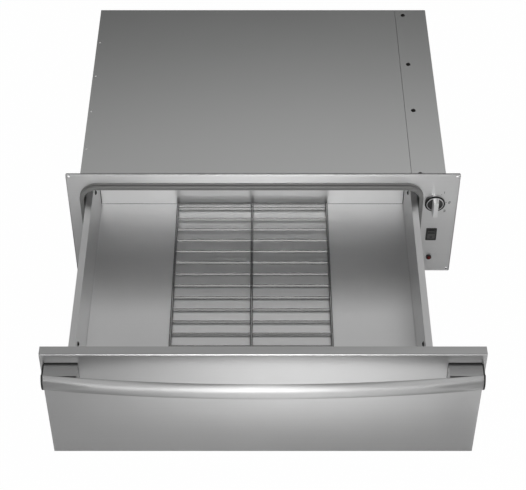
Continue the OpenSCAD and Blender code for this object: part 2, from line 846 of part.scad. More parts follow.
module switch_housing() {
    color("#303030") difference() {
        union() {
            translate([control_x, 0, switch_z]) slab(-flange_t - frame_proud, -flange_t)
                round_rect(switch_w, switch_h, switch_lip);
            block([control_x - switch_body_w / 2, -flange_t, switch_z - switch_body_h / 2],
                [control_x + switch_body_w / 2, switch_body_d, switch_z + switch_body_h / 2]);
            for (s = [-1, 1]) {
                block([control_x - blade_w / 2, switch_body_d, switch_z + s * switch_body_h / 4],
                    [control_x + blade_w / 2, switch_body_d + blade_l,
                        switch_z + s * switch_body_h / 4 + blade_t]);
            }
        }
        block([control_x - rocker_room_w / 2, -flange_t - frame_proud - overrun,
                switch_z - rocker_room_h / 2],
            [control_x + rocker_room_w / 2, switch_body_d - switch_floor, switch_z + rocker_room_h / 2]);
        rod_x(pin_r + shaft_gap, control_x - switch_body_w / 2 - overrun,
            control_x + switch_body_w / 2 + overrun, pivot_y, switch_z);
    }
}

// The rocker's side view about its pivot: two flat wings that meet in a shallow valley
module rocker_outline() {
    half = rocker_room_h / 2 - rocker_end_gap;
    valley = -flange_t - frame_proud - pivot_y;
    crest = valley - rocker_crest;
    polygon([
        [valley, 0], [crest, half], [crest + 2 * frame_proud, half],
        [rocker_belly, half / 3], [rocker_belly, -half / 3],
        [crest + 2 * frame_proud, -half], [crest, -half]
    ]);
}
module switch_rocker() {
    color("#3a3a3a") translate([control_x, pivot_y, switch_z]) rotate([rocker_tilt, 0, 0]) {
        strip(-rocker_w / 2, rocker_w / 2) rocker_outline();
        rod_x(pin_r, -rocker_room_w / 2 - pin_reach, rocker_room_w / 2 + pin_reach, 0, 0);
    }
}

// Indicator lamp: housing with a deep bezel and a domed red lens
lamp_body_d = 24;
lamp_bezel_proud = 4.4;
lamp_wall = 0.7;
lens_r = lamp_body_r - lamp_wall;
lens_rear = 6;
module lamp_housing() {
    color("black") difference() {
        union() {
            rod_y(lamp_d / 2, -flange_t - lamp_bezel_proud, -flange_t, control_x, lamp_z);
            rod_y(lamp_body_r, -flange_t, lamp_body_d, control_x, lamp_z);
        }
        rod_y(lens_r + hole_gap, -flange_t - lamp_bezel_proud - overrun, lens_rear, control_x, lamp_z);
    }
}
module lamp_lens() {
    color("darkred") {
        rod_y(lens_r, -flange_t - lamp_proud + lens_r, lens_rear, control_x, lamp_z);
        translate([control_x, -flange_t - lamp_proud + lens_r, lamp_z]) sphere(r = lens_r);
    }
}

// Terminal block on the divider, wires in the control bay, and the cord's inlet bushing
block_y = 420;
block_z = -40;
block_l = 46;
block_w = 20;
block_d = 14;
pole_count = 3;
pole_pitch = 14;
pole_r = 2.6;
module terminal_block() {
    z0 = block_z - block_w / 2;
    color("beige") difference() {
        block([bay_x, block_y - block_l / 2, z0], [bay_x + block_d, block_y + block_l / 2, z0 + block_w]);
        for (i = [0 : pole_count - 1]) {
            y = block_y + (i - (pole_count - 1) / 2) * pole_pitch;
            rod_z(pole_r, z0 - overrun, z0 + block_w + overrun, bay_x + block_d / 2, y);
        }
    }
}

// Ends of the wires: the blades, the element's tails and the poles of the terminal block
wire_r = 1.3;
wire_gap = 0.5;
wire_lead = 12;
wire_bite = 4;
blade_end_y = thermostat_d + thermostat_back_t + blade_l + wire_gap;
switch_end_y = switch_body_d + blade_l + wire_gap;
upper_blade = [control_x, blade_end_y, knob_z + thermostat_h / 4 + blade_t / 2];
lower_blade = [control_x, blade_end_y, knob_z - thermostat_h / 4 + blade_t / 2];
upper_switch_blade = [control_x, switch_end_y, switch_z + switch_body_h / 4 + blade_t / 2];
lower_switch_blade = [control_x, switch_end_y, switch_z - switch_body_h / 4 + blade_t / 2];
front_tail = [element_end + wire_gap, element_y(0), element_z];
rear_tail = [element_end + wire_gap, element_y(element_legs - 1), element_z];
lamp_rear = [control_x, lamp_body_d + wire_gap, lamp_z];
lead_back = [0, wire_lead, 0];
lead_right = [wire_lead, 0, 0];
function pole(i, side, out) = [bay_x + block_d / 2, block_y + (i - (pole_count - 1) / 2) * pole_pitch,
    block_z + side * (block_w / 2 + out)];

// Points between the ends of each wire, measured from the bay's divider
thermostat_feed = [[7, 390, 12], [9, 330, 70], [23, 200, 90], [23, 90, 84]];
element_feed = [[15, 76, 18], [14, 92, -50], [17, 110, -76]];
element_return = [[17, 416, -74]];
switch_feed = [[13, 380, 0], [19, 250, -16], [29, 120, -24]];
lamp_feed = [[23, 43, -58], [23, 42, -80]];

function wire_routes() = [
    concat([pole(0, 1, -wire_bite), pole(0, 1, wire_lead / 2)], in_bay(thermostat_feed),
        [upper_blade + lead_back, upper_blade]),
    concat([lower_blade, lower_blade + lead_back], in_bay(element_feed),
        [front_tail + lead_right / 2, front_tail]),
    concat([rear_tail, rear_tail + lead_right / 2], in_bay(element_return),
        [pole(1, -1, wire_lead / 2), pole(1, -1, -wire_bite)]),
    concat([pole(1, 1, -wire_bite), pole(1, 1, wire_lead / 2)], in_bay(switch_feed),
        [upper_switch_blade + lead_back, upper_switch_blade]),
    concat([lower_switch_blade, lower_switch_blade + lead_back / 2], in_bay(lamp_feed),
        [lamp_rear + lead_back / 2, lamp_rear])
];
module wire_harness() {
    color("firebrick") for (route = wire_routes()) tube(smooth(route, tube_steps), wire_r, tube_sides);
}

cord_x = control_x;
cord_z = -72;
cord_bushing_r = 10;
cord_bore_r = 5.5;
cord_flange_r = 13;
cord_flange_t = 3;
cord_sleeve = 9;
module cord_bushing() {
    color("#202020") difference() {
        union() {
            rod_y(cord_bushing_r, case_d - cord_sleeve, case_d, cord_x, cord_z);
            rod_y(cord_flange_r, case_d, case_d + cord_flange_t, cord_x, cord_z);
        }
        rod_y(cord_bore_r, case_d - cord_sleeve - overrun, case_d + cord_flange_t + overrun,
            cord_x, cord_z);
    }
}

// Slides: on the left side, s runs from the outer member's web towards the drawer
slide_in = 5;
race_t = 1.2;
ball_r = 1.5;
race_gap = 0.3;
web_gap = 0.35;
slide_lip_gap = 0.4;
cage_t = 0.6;
slide_z = rim_z - slide_drop;
slide_out_x = mouth_x - wall_x - drawer_t - slide_w;
cage_l = 180;
cage_in = 2;
cage_y = slide_in + open_travel * outer_cage_share + cage_in;
ball_count = 6;

// Half heights of the races, from the outer member inwards
outer_half = slide_h / 2;
outer_ball_z = outer_half - race_t - race_gap - ball_r;
middle_half = outer_ball_z - ball_r - race_gap;
inner_ball_z = middle_half - race_t - race_gap - ball_r;
inner_half = inner_ball_z - ball_r - race_gap;
middle_web = race_t + 2 * web_gap + cage_t;
inner_cage_web = middle_web + race_t + web_gap;
outer_lip_s = slide_w - race_t - slide_lip_gap;
middle_lip_s = outer_lip_s - race_t - race_gap;
inner_web_s = slide_w - race_t;
inner_flange_s = inner_cage_web + cage_t + web_gap;

// A channel section: web at s0, flanges out to s1 and lips turned in by lip
module channel(s0, s1, half, lip) {
    translate([slide_out_x + s0, -half]) square([race_t, 2 * half]);
    for (side = [-1, 1]) {
        z = side < 0 ? -half : half - race_t;
        translate([slide_out_x + s0, z]) square([s1 - s0, race_t]);
        lip_z = side < 0 ? -half : half - lip;
        translate([slide_out_x + s1 - race_t, lip_z]) square([race_t, lip]);
    }
}
module slide_run(y0) {
    translate([0, 0, slide_z]) slab(y0, y0 + slide_l) children();
}
// Distance of the slides' fixing holes from the members' two ends
slide_hole_r = 2.2;
slide_hole_front = 61;
slide_hole_rear = 49;
slide_hole_places = [slide_in + slide_hole_front, slide_in + slide_l - slide_hole_rear];

module slide_outer() {
    lip = race_t + race_gap + ball_r;
    difference() {
        slide_run(slide_in) channel(0, outer_lip_s + race_t, outer_half, lip);
        for (y = slide_hole_places) {
            rod_x(slide_hole_r, slide_out_x - overrun, slide_out_x + race_t + overrun, y, slide_z);
        }
    }
}
module slide_middle() {
    lip = race_t + race_gap + ball_r;
    drawn(middle_share) slide_run(slide_in) channel(middle_web, middle_lip_s + race_t, middle_half, lip);
}
module slide_inner() {
    drawn(1) difference() {
        slide_run(slide_in) union() {
            translate([slide_out_x + inner_web_s, -inner_half]) square([race_t, 2 * inner_half]);
            for (side = [-1, 1]) {
                z = side < 0 ? -inner_half : inner_half - race_t;
                translate([slide_out_x + inner_flange_s, z])
                    square([slide_w - inner_flange_s, race_t]);
            }
        }
        for (y = slide_hole_places) {
            rod_x(slide_hole_r, slide_out_x + inner_web_s - overrun, slide_out_x + slide_w + overrun,
                y, slide_z);
        }
    }
}
module left_slide_outer() { color("silver") slide_outer(); }
module left_slide_middle() { color("silver") slide_middle(); }
module left_slide_inner() { color("silver") slide_inner(); }
module right_slide_outer() { color("silver") on_right() slide_outer(); }
module right_slide_middle() { color("silver") on_right() slide_middle(); }
module right_slide_inner() { color("silver") on_right() slide_inner(); }

// A ball cage: a thin strip bent round the races, with two rows of balls in its holes
module ball_cage(web_s, ball_s, ball_z) {
    span = web_s + cage_t;
    step = cage_l / ball_count;
    arm_end = ball_s + ball_r + cage_t;
    module ball_at(i, side, r) {
        translate([slide_out_x + ball_s, cage_y + (i + 0.5) * step, slide_z + side * ball_z])
            sphere(r = r);
    }
    difference() {
        union() {
            block([slide_out_x + web_s, cage_y, slide_z - ball_z],
                [slide_out_x + span, cage_y + cage_l, slide_z + ball_z]);
            for (side = [-1, 1]) {
                z = slide_z + side * ball_z - cage_t / 2;
                block([slide_out_x + web_s, cage_y, z],
                    [slide_out_x + arm_end, cage_y + cage_l, z + cage_t]);
            }
        }
        for (i = [0 : ball_count - 1], side = [-1, 1]) ball_at(i, side, ball_r + shaft_gap);
    }
    for (i = [0 : ball_count - 1], side = [-1, 1]) ball_at(i, side, ball_r);
}
outer_ball_s = slide_w / 2;
inner_ball_s = inner_flange_s + ball_r + web_gap;
module outer_ball_cages() {
    color("goldenrod") on_both_sides() drawn(outer_cage_share)
        ball_cage(race_t + web_gap, outer_ball_s, outer_ball_z);
}
module inner_ball_cages() {
    color("goldenrod") on_both_sides() drawn(inner_cage_share)
        ball_cage(inner_cage_web, inner_ball_s, inner_ball_z);
}

// Brackets between the liner and the outer members, and the slides' rear screws
bracket_l = 30;
bracket_h = 36;
module slide_brackets() {
    color("darkgray") on_both_sides() for (y = slide_hole_places) difference() {
        block([liner_left, y - bracket_l / 2, slide_z - bracket_h / 2],
            [slide_out_x, y + bracket_l / 2, slide_z + bracket_h / 2]);
        rod_x(slide_hole_r, liner_left - overrun, slide_out_x + overrun, y, slide_z);
    }
}
module slide_rivets() {
    color("dimgray") on_both_sides() for (y = slide_hole_places) {
        rod_x(slide_hole_r - hole_gap, liner_left, slide_out_x + race_t, y, slide_z);
    }
}

// Drawer: floor, two bent sides with folded rims, and the rear wall
foot_w = 12;
seam = 0.3;
side_top = rim_z - drawer_t;

module drawer_floor() {
    color("silver") drawn(1)
        block([mouth_x - wall_x + seam, shut_y, floor_z - drawer_t],
            [mouth_x + wall_x - seam, drawer_back, floor_z]);
}
module drawer_side() {
    x = mouth_x - wall_x;
    z0 = floor_z - 2 * drawer_t;
    y1 = drawer_back + 2 * drawer_t;
    drawn(1) difference() {
        union() {
            block([x - drawer_t, shut_y, z0], [x, y1, rim_z]);
            block([x - rim_w, shut_y, side_top], [x, y1, rim_z]);
            block([x - rim_w, shut_y, rim_z - rim_lip], [x - rim_w + drawer_t, y1, rim_z]);
            block([x - drawer_t, shut_y, z0], [x + foot_w, y1, z0 + drawer_t]);
            block([x - rim_w, shut_y, floor_z], [x, shut_y + drawer_t, rim_z]);
            block([x - drawer_t, y1 - drawer_t, z0], [x + foot_w, y1, side_top]);
        }
        for (y = slide_hole_places) {
            rod_x(side_screw_r + hole_gap, x - drawer_t - overrun, x + overrun, y, slide_z);
        }
        for (u = front_screw_shares) {
            rod_y(side_screw_r + hole_gap, shut_y - overrun, shut_y + drawer_t + overrun,
                front_screw_x, floor_z + drawer_h * u);
        }
    }
}
module drawer_left_side() { color("silver") drawer_side(); }
module drawer_right_side() { color("silver") on_right() drawer_side(); }
module drawer_rear() {
    color("silver") drawn(1)
        block([mouth_x - wall_x + seam, drawer_back, floor_z - drawer_t],
            [mouth_x + wall_x - seam, drawer_back + drawer_t, rim_z]);
}

// Screws that hold the inner slide members to the drawer, with their heads inside it
side_screw_r = 2;
side_screw_head_r = 4.2;
side_screw_dome_r = 3.2;
side_screw_head_t = 2;
side_screw_tip = 2;
module drawer_side_screws() {
    color("dimgray") on_both_sides() drawn(1) for (y = slide_hole_places) {
        x = mouth_x - wall_x;
        rod_x(side_screw_r, x - drawer_t - race_t - side_screw_tip, x, y, slide_z);
        rod_x(side_screw_head_r, x, x + side_screw_head_t / 2, y, slide_z);
        rod_x(side_screw_dome_r, x, x + side_screw_head_t, y, slide_z);
    }
}

// Drawer front: outer skin, inner panel and the insulation between them. The inner panel has
// a round pocket that the knob fits in when the drawer is shut
inner_t = 1;
inner_lip = 8;
panel_gap = 0.3;
inner_w = front_w - 2 * front_t - 2 * panel_gap;
inner_h = front_h - 2 * front_t - 2 * panel_gap;
front_screw_shares = [0.15, 0.5, 0.85];
front_screw_x = mouth_x - wall_x - drawer_t - (rim_w - drawer_t) / 2;
front_screw_head_r = 3.5;
front_screw_head_t = 1.8;
front_screw_tip = 3;
pocket_room = 4;
pocket_r = knob_d / 2 + pocket_room;
pocket_y = face_y + front_t + panel_gap;

module front_skin_outline() {
    y0 = face_y;
    y1 = shut_y;
    half = front_h / 2;
    r = front_edge_r;
    translate([y0 + r, front_rise - half]) square([y1 - y0 - r, front_h]);
    translate([y0, front_rise - half + r]) square([y1 - y0, front_h - 2 * r]);
    for (side = [-1, 1]) translate([y0 + r, front_rise + side * (half - r)]) circle(r = r);
}
module front_skin() {
    half = front_h / 2 - front_t;
    color("silver") drawn(1) difference() {
        strip(-front_w / 2, front_w / 2) front_skin_outline();
        block([-front_w / 2 + front_t, face_y + front_t, front_rise - half],
            [front_w / 2 - front_t, shut_y + overrun, front_rise + half]);
        for (x = handle_screw_places) {
            rod_y(handle_screw_r + hole_gap, face_y - overrun, face_y + front_t + overrun, x, handle_mid);
        }
    }
}
module front_inner_panel() {
    color("lightgray") drawn(1) difference() {
        union() {
            translate([0, 0, front_rise]) difference() {
                slab(shut_y - inner_lip, shut_y) square([inner_w, inner_h], center = true);
                slab(shut_y - inner_lip - overrun, shut_y - inner_t)
                    square([inner_w - 2 * inner_t, inner_h - 2 * inner_t], center = true);
            }
            rod_y(pocket_r + inner_t, pocket_y, shut_y, control_x, knob_z);
        }
        rod_y(pocket_r, pocket_y - overrun, shut_y + overrun, control_x, knob_z);
        for (x = front_screw_columns, u = front_screw_shares) {
            rod_y(side_screw_r + hole_gap, shut_y - inner_t - overrun, shut_y + overrun,
                x, floor_z + drawer_h * u);
        }
    }
}
front_screw_columns = [front_screw_x, 2 * mouth_x - front_screw_x];
module front_insulation() {
    margin = front_t + panel_gap + inner_t + panel_gap;
    color("khaki") drawn(1) difference() {
        block([-front_w / 2 + margin, face_y + front_t + panel_gap, front_rise - front_h / 2 + margin],
            [front_w / 2 - margin, shut_y - inner_t - panel_gap, front_rise + front_h / 2 - margin]);
        rod_y(pocket_r + inner_t + panel_gap, face_y, shut_y, control_x, knob_z);
        for (x = handle_screw_places) {
            rod_y(handle_screw_head_r + run_gap, face_y, face_y + front_t + handle_screw_head_t + run_gap,
                x, handle_mid);
        }
        for (x = front_screw_columns, u = front_screw_shares) {
            rod_y(side_screw_r + run_gap, shut_y - inner_t - front_screw_tip - 2 * run_gap, shut_y,
                x, floor_z + drawer_h * u);
        }
    }
}
module front_screws() {
    color("dimgray") drawn(1) for (x = front_screw_columns, u = front_screw_shares) {
        z = floor_z + drawer_h * u;
        y = shut_y + drawer_t;
        rod_y(side_screw_r, shut_y - inner_t - front_screw_tip, y, x, z);
        rod_y(front_screw_head_r, y, y + front_screw_head_t, x, z);
    }
}

// Handle: a bowed bar of D section on two posts, closed by two end caps
seat_gap = 0.3;
post_inset = 3.5;
handle_top = front_rise + front_h / 2 - handle_drop;
handle_mid = handle_top - handle_h / 2;
handle_half = front_w / 2 - handle_inset;
bar_half = handle_half - cap_t;
post_y = face_y - post_d;
bar_end_y = post_y - seat_gap;
bow_r = (bar_half * bar_half + handle_bow * handle_bow) / (2 * handle_bow);
spare_angle = 1;
bar_angle = 2 * asin(bar_half / bow_r) + spare_angle;
bulge_r = (handle_h * handle_h / 4 + handle_bulge * handle_bulge) / (2 * handle_bulge);
handle_screw_r = 2.5;
handle_screw_head_r = 4.5;
handle_screw_head_t = 3;
handle_screw_bite = 5;
handle_screw_step = 14;
post_x = bar_half - post_w / 2;
handle_screw_places = [for (side = [-1, 1], s = [-1, 1]) side * post_x + s * handle_screw_step];
function bar_back(x) = bar_end_y - handle_bow + bow_r - sqrt(bow_r * bow_r - x * x);

// Half-round section: the flat back at u = 0, the bulge towards +u, the middle at v = 0
module bar_section() {
    intersection() {
        translate([handle_bulge - bulge_r, 0]) circle(r = bulge_r, $fn = 96);
        translate([0, -handle_h / 2]) square([handle_bulge, handle_h]);
    }
}
module handle_bar() {
    color("gainsboro") drawn(1) difference() {
        intersection() {
            translate([0, bar_end_y - handle_bow + bow_r, handle_mid]) rotate(-90 - bar_angle / 2)
                rotate_extrude(angle = bar_angle, $fn = 720) translate([bow_r, 0]) bar_section();
            block([-bar_half, bar_end_y - handle_bow - handle_bulge - overrun, handle_mid - handle_h],
                [bar_half, face_y, handle_mid + handle_h]);
        }
        for (x = handle_screw_places) {
            rod_y(handle_screw_r + hole_gap, bar_back(x) - handle_screw_bite, face_y, x, handle_mid);
        }
    }
}
module handle_posts() {
    z0 = handle_mid - handle_h / 2 + post_inset;
    z1 = handle_mid + handle_h / 2 - post_inset;
    color("silver") drawn(1) for (side = [-1, 1]) difference() {
        block([side * post_x - post_w / 2, post_y, z0], [side * post_x + post_w / 2, face_y, z1]);
        for (s = [-1, 1]) {
            rod_y(handle_screw_r + hole_gap, post_y - overrun, face_y + overrun,
                side * post_x + s * handle_screw_step, handle_mid);
        }
    }
}
module handle_end_caps() {
    z0 = handle_mid - handle_h / 2 + post_inset;
    z1 = handle_mid + handle_h / 2 - post_inset;
    color("black") drawn(1) for (side = [-1, 1]) {
        x = side < 0 ? -handle_half : bar_half;
        strip(x, x + cap_t) {
            translate([bar_end_y, handle_mid]) mirror([1, 0]) bar_section();
            translate([bar_end_y, z0]) square([face_y - bar_end_y, z1 - z0]);
        }
    }
}
module handle_screws() {
    color("dimgray") drawn(1) for (x = handle_screw_places) {
        y1 = face_y + front_t;
        rod_y(handle_screw_r, bar_back(x) - handle_screw_bite + run_gap, y1, x, handle_mid);
        rod_y(handle_screw_head_r, y1, y1 + handle_screw_head_t, x, handle_mid);
    }
}

// Rack: cross wires welded under three long wires, whose ends turn down as feet
rack_rear_gap = 8;
weld = 0.5;
end_wire_gap = 9;
rack_y0 = shut_y + rack_front_gap;
rack_y1 = drawer_back - rack_rear_gap;
cross_z = floor_z + rack_lift;
long_z = cross_z + cross_wire / 2 + long_wire / 2 - weld;
cross_step = (rack_y1 - rack_y0 - 2 * end_wire_gap) / (cross_count - 1);
cross_places = concat([rack_y0, rack_y1],
    [for (i = [0 : cross_count - 1]) rack_y0 + end_wire_gap + i * cross_step]);
module rack() {
    foot_out = long_wire / 2 + cross_wire / 2 - weld;
    color("silver") drawn(1) {
        for (side = [-1, 0, 1]) {
            x = mouth_x + side * rack_w / 2;
            y0 = rack_y0 - foot_out;
            y1 = rack_y1 + foot_out;
            rod_y(long_wire / 2, y0, y1, x, long_z);
            for (y = [y0, y1]) {
                rod_z(long_wire / 2, floor_z, long_z, x, y);
                translate([x, y, long_z]) sphere(d = long_wire);
            }
        }
        for (y = cross_places) {
            rod_x(cross_wire / 2, mouth_x - rack_w / 2, mouth_x + rack_w / 2, y, cross_z);
        }
    }
}

front_flange();
cavity_seal();
cavity_liner();
liner_back();
heat_reflector();
heating_element();
element_clips();
element_bushings();
insulation();
case_top();
case_left_side();
case_bottom();
case_back();
bay_divider();
control_cover();
case_screws();
top_rivets();
thermostat_body();
thermostat_back();
thermostat_nut();
thermostat_rotor();
thermostat_shaft();
knob_bezel();
knob_skirt();
knob_dial();
knob_grip();
sensor_bulb();
bulb_clips();
safety_cutout();
switch_housing();
switch_rocker();
lamp_housing();
lamp_lens();
terminal_block();
wire_harness();
cord_bushing();
left_slide_outer();
left_slide_middle();
left_slide_inner();
right_slide_outer();
right_slide_middle();
right_slide_inner();
outer_ball_cages();
inner_ball_cages();
slide_brackets();
slide_rivets();
drawer_floor();
drawer_left_side();
drawer_right_side();
drawer_rear();
drawer_side_screws();
front_skin();
front_inner_panel();
front_insulation();
handle_bar();
handle_posts();
handle_end_caps();
handle_screws();
front_screws();
rack();
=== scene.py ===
import math

import bmesh
import bpy
import numpy as np
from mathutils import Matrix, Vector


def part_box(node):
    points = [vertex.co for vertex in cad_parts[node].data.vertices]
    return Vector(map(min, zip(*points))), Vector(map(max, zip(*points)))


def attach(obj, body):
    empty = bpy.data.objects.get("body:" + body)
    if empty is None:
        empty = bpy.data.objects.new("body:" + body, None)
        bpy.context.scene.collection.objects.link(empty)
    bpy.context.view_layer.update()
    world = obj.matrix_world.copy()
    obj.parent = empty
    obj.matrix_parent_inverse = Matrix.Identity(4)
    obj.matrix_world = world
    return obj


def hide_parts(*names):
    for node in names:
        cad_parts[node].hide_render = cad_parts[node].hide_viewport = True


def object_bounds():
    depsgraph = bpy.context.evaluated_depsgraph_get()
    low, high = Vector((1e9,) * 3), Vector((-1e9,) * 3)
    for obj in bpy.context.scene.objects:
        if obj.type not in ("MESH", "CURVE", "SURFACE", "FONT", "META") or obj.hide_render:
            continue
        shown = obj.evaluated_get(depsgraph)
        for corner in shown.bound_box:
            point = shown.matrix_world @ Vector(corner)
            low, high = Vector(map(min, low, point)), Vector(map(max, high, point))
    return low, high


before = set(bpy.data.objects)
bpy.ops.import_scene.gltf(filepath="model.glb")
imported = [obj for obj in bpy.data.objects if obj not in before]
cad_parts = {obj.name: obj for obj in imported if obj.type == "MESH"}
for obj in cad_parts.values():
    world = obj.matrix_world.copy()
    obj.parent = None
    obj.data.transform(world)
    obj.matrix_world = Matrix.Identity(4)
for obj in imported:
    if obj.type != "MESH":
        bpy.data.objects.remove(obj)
cad_low, cad_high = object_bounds()


# The stage: a plain pale floor just under the case, in a studio with a soft uneven sky, two soft
# lamps before the drawer and a narrow one above it. The camera looks down into the open drawer
# from the front.
class Value:
    """An output of a node. Plain arithmetic on it adds Math nodes."""

    def __init__(self, graph, socket):
        self.graph, self.socket = graph, socket

    def maths(self, operation, first, second):
        return self.graph.add("ShaderNodeMath", {"operation": operation}, {0: first, 1: second})

    def __add__(self, other):
        return self.maths("ADD", self, other)

    def __sub__(self, other):
        return self.maths("SUBTRACT", self, other)

    def __rsub__(self, other):
        return self.maths("SUBTRACT", other, self)

    def __mul__(self, other):
        return self.maths("MULTIPLY", self, other)

    __radd__ = __add__
    __rmul__ = __mul__


class Graph:
    """The node tree of a material or of the world."""

    def __init__(self, owner):
        owner.use_nodes = True
        self.owner, self.tree = owner, owner.node_tree
        self.tree.nodes.clear()

    def add(self, kind, settings=None, sockets=None, out=0):
        """Makes one node: its type, its settings, then the values or links of its sockets. The
        stops of a ramp are pairs of a place and a grey."""
        node = self.tree.nodes.new(kind)
        for key, value in (settings or {}).items():
            if key == "stops":
                ends = node.color_ramp.elements
                for stop, (place, grey) in zip(ends, (value[0], value[-1])):
                    stop.position, stop.color = place, (grey, grey, grey, 1)
                for place, grey in value[1:-1]:
                    ends.new(place).color = (grey, grey, grey, 1)
            else:
                setattr(node, key, value)
        for key, value in (sockets or {}).items():
            if isinstance(value, Value):
                self.tree.links.new(value.socket, node.inputs[key])
            else:
                node.inputs[key].default_value = value
        return Value(self, node.outputs[out]) if node.outputs else node

    def mix(self, share, first, second):
        """A colour on the way from the first to the second, by that share. They are the sockets
        6 and 7 of the node, and their mix is its output 2."""
        return self.add("ShaderNodeMix", {"data_type": "RGBA"}, {0: share, 6: first, 7: second}, 2)

    def ease(self, value, start, end, low, high):
        """Goes smoothly from low to high while the value goes from start to end."""
        return self.add("ShaderNodeMapRange", {"interpolation_type": "SMOOTHSTEP"}, {
            "Value": value, "From Min": start, "From Max": end, "To Min": low, "To Max": high})


bpy.context.scene.view_settings.view_transform = "Standard"

floor_drop, floor_reach = 0.001, 14
floor_z = cad_low.z - floor_drop
floor_corners = [(x * floor_reach, y * floor_reach, floor_z)
                 for x, y in ((-1, -1), (1, -1), (1, 1), (-1, 1))]
floor_mesh = bpy.data.meshes.new("floor")
floor_mesh.from_pydata(floor_corners, [], [(0, 1, 2, 3)])
floor = bpy.data.objects.new("floor", floor_mesh)
bpy.context.scene.collection.objects.link(floor)

# How much of the paper's own white each kind of ray sees; the rest is lit and keeps the shadow
camera_white, mirror_white, glass_white = 0.99, 0.02, 0.08
paper_grey, white = (0.86, 0.86, 0.86, 1), (1, 1, 1, 1)
paper = Graph(bpy.data.materials.new("pale_floor"))
rays = paper.add("ShaderNodeLightPath").socket.node.outputs
is_camera, is_glossy, is_transmission = (
    Value(paper, rays[kind]) for kind in ("Is Camera Ray", "Is Glossy Ray", "Is Transmission Ray"))
lit_paper = paper.add("ShaderNodeBsdfDiffuse", {}, {"Color": paper_grey})
white_paper = paper.add("ShaderNodeEmission", {}, {"Color": white, "Strength": 1.0})
seen_white = (is_camera * camera_white + is_glossy * mirror_white
              + is_transmission * glass_white)
paper.add("ShaderNodeOutputMaterial", {}, {
    "Surface": paper.add("ShaderNodeMixShader", {}, {0: seen_white, 1: lit_paper, 2: white_paper})})
floor_mesh.materials.append(paper.owner)

# A stop's place is the height of the direction: 0 at the horizon and below it, 1 overhead
behind_stops = [(0.0, 0.6), (0.35, 0.5), (0.5, 0.1), (0.6, 0.03), (0.67, 1.0), (0.77, 0.46),
                (0.88, 0.5), (1.0, 0.4)]
before_stops = [(0.0, 0.35), (0.3, 0.35), (0.5, 0.4), (0.62, 0.62), (0.78, 0.62), (0.9, 0.4),
                (1.0, 0.4)]
world = bpy.data.worlds.new("studio")
bpy.context.scene.world = world
sky = Graph(world)
heading = sky.add("ShaderNodeTexCoord", {}, {}, "Generated")
heading_parts = sky.add("ShaderNodeSeparateXYZ", {}, {"Vector": heading}).socket.node.outputs
to_right, to_back, upward = (Value(sky, heading_parts[n]) for n in ("X", "Y", "Z"))
behind = sky.add("ShaderNodeValToRGB", {"stops": behind_stops}, {0: upward})
before = sky.add("ShaderNodeValToRGB", {"stops": before_stops}, {0: upward})
frontness = sky.ease(to_back, start=0.15, end=-0.35, low=0.0, high=1.0)
side_light = sky.ease(to_right, start=-0.6, end=0.3, low=0.5, high=1.0)
sideways = to_right.maths("ABSOLUTE", to_right, 0.0)
far_side = sky.ease(sideways, start=0.55, end=0.85, low=0.0, high=0.7)
shaded = sky.add("ShaderNodeVectorMath", {"operation": "SCALE"}, {
    0: sky.mix(frontness, behind, before), "Scale": side_light + far_side})
sky_rays = sky.add("ShaderNodeLightPath").socket.node.outputs
seen_sky = sky.mix(Value(sky, sky_rays["Is Camera Ray"]), shaded, white)
sky.add("ShaderNodeOutputWorld", {}, {
    "Surface": sky.add("ShaderNodeBackground", {}, {"Color": seen_sky, "Strength": 1.0})})


def lamp(name, place, target, width, depth, power, spread, mirrored=True):
    """A soft rectangular lamp at a place, turned to face its target, its light held within a
    spread in degrees. Bright metal shows it as a reflection only where it is mirrored."""
    light = bpy.data.lights.new(name, "AREA")
    light.shape, light.size, light.size_y, light.energy = "RECTANGLE", width, depth, power
    light.spread = math.radians(spread)
    holder = bpy.data.objects.new(name, light)
    bpy.context.scene.collection.objects.link(holder)
    holder.location = place
    aim = Vector(target) - Vector(place)
    holder.rotation_euler = aim.to_track_quat("-Z", "Y").to_euler()
    holder.visible_glossy = mirrored


lamp("front_softbox", (0.0, -2.5, 2.1), (-0.01, 0.05, 0.05),
     width=0.9, depth=1.8, power=0.7, spread=40)
lamp("low_softbox", (-0.03, -2.8, 0.75), (-0.03, 0, 0.12),
     width=0.72, depth=1.2, power=0.62, spread=24)
lamp("floor_lamp", (0.12, 0.3, 2.4), (0.07, -0.72, -0.13),
     width=0.3, depth=0.6, power=1.42, spread=18, mirrored=False)

# The lens, place and pitch fit the drawer's corners in the photo; the pitch is a little less
# steep, so that the whole case is in the picture
camera_data = bpy.data.cameras.new("camera")
camera = bpy.data.objects.new("camera", camera_data)
bpy.context.scene.collection.objects.link(camera)
bpy.context.scene.camera = camera
camera_data.sensor_width, camera_data.lens = 36, 100.57
camera_pitch = math.radians(45.4)
camera.location = (-0.0002, -2.0565, 2.025)
camera.rotation_euler = (math.pi / 2 - camera_pitch, 0, 0)


# Front flange: a 1.2 mm stainless sheet, brushed along its width, with a rounded mouth, four
# screw holes near its corners and openings for the controls.
bump_depth, fine_detail, wide_detail, bare_blend = 0.0001, 3.0, 4.0, 0.0003
merge_reach, flat_angle, sharp_angle = 2e-6, math.radians(0.5), math.radians(32)


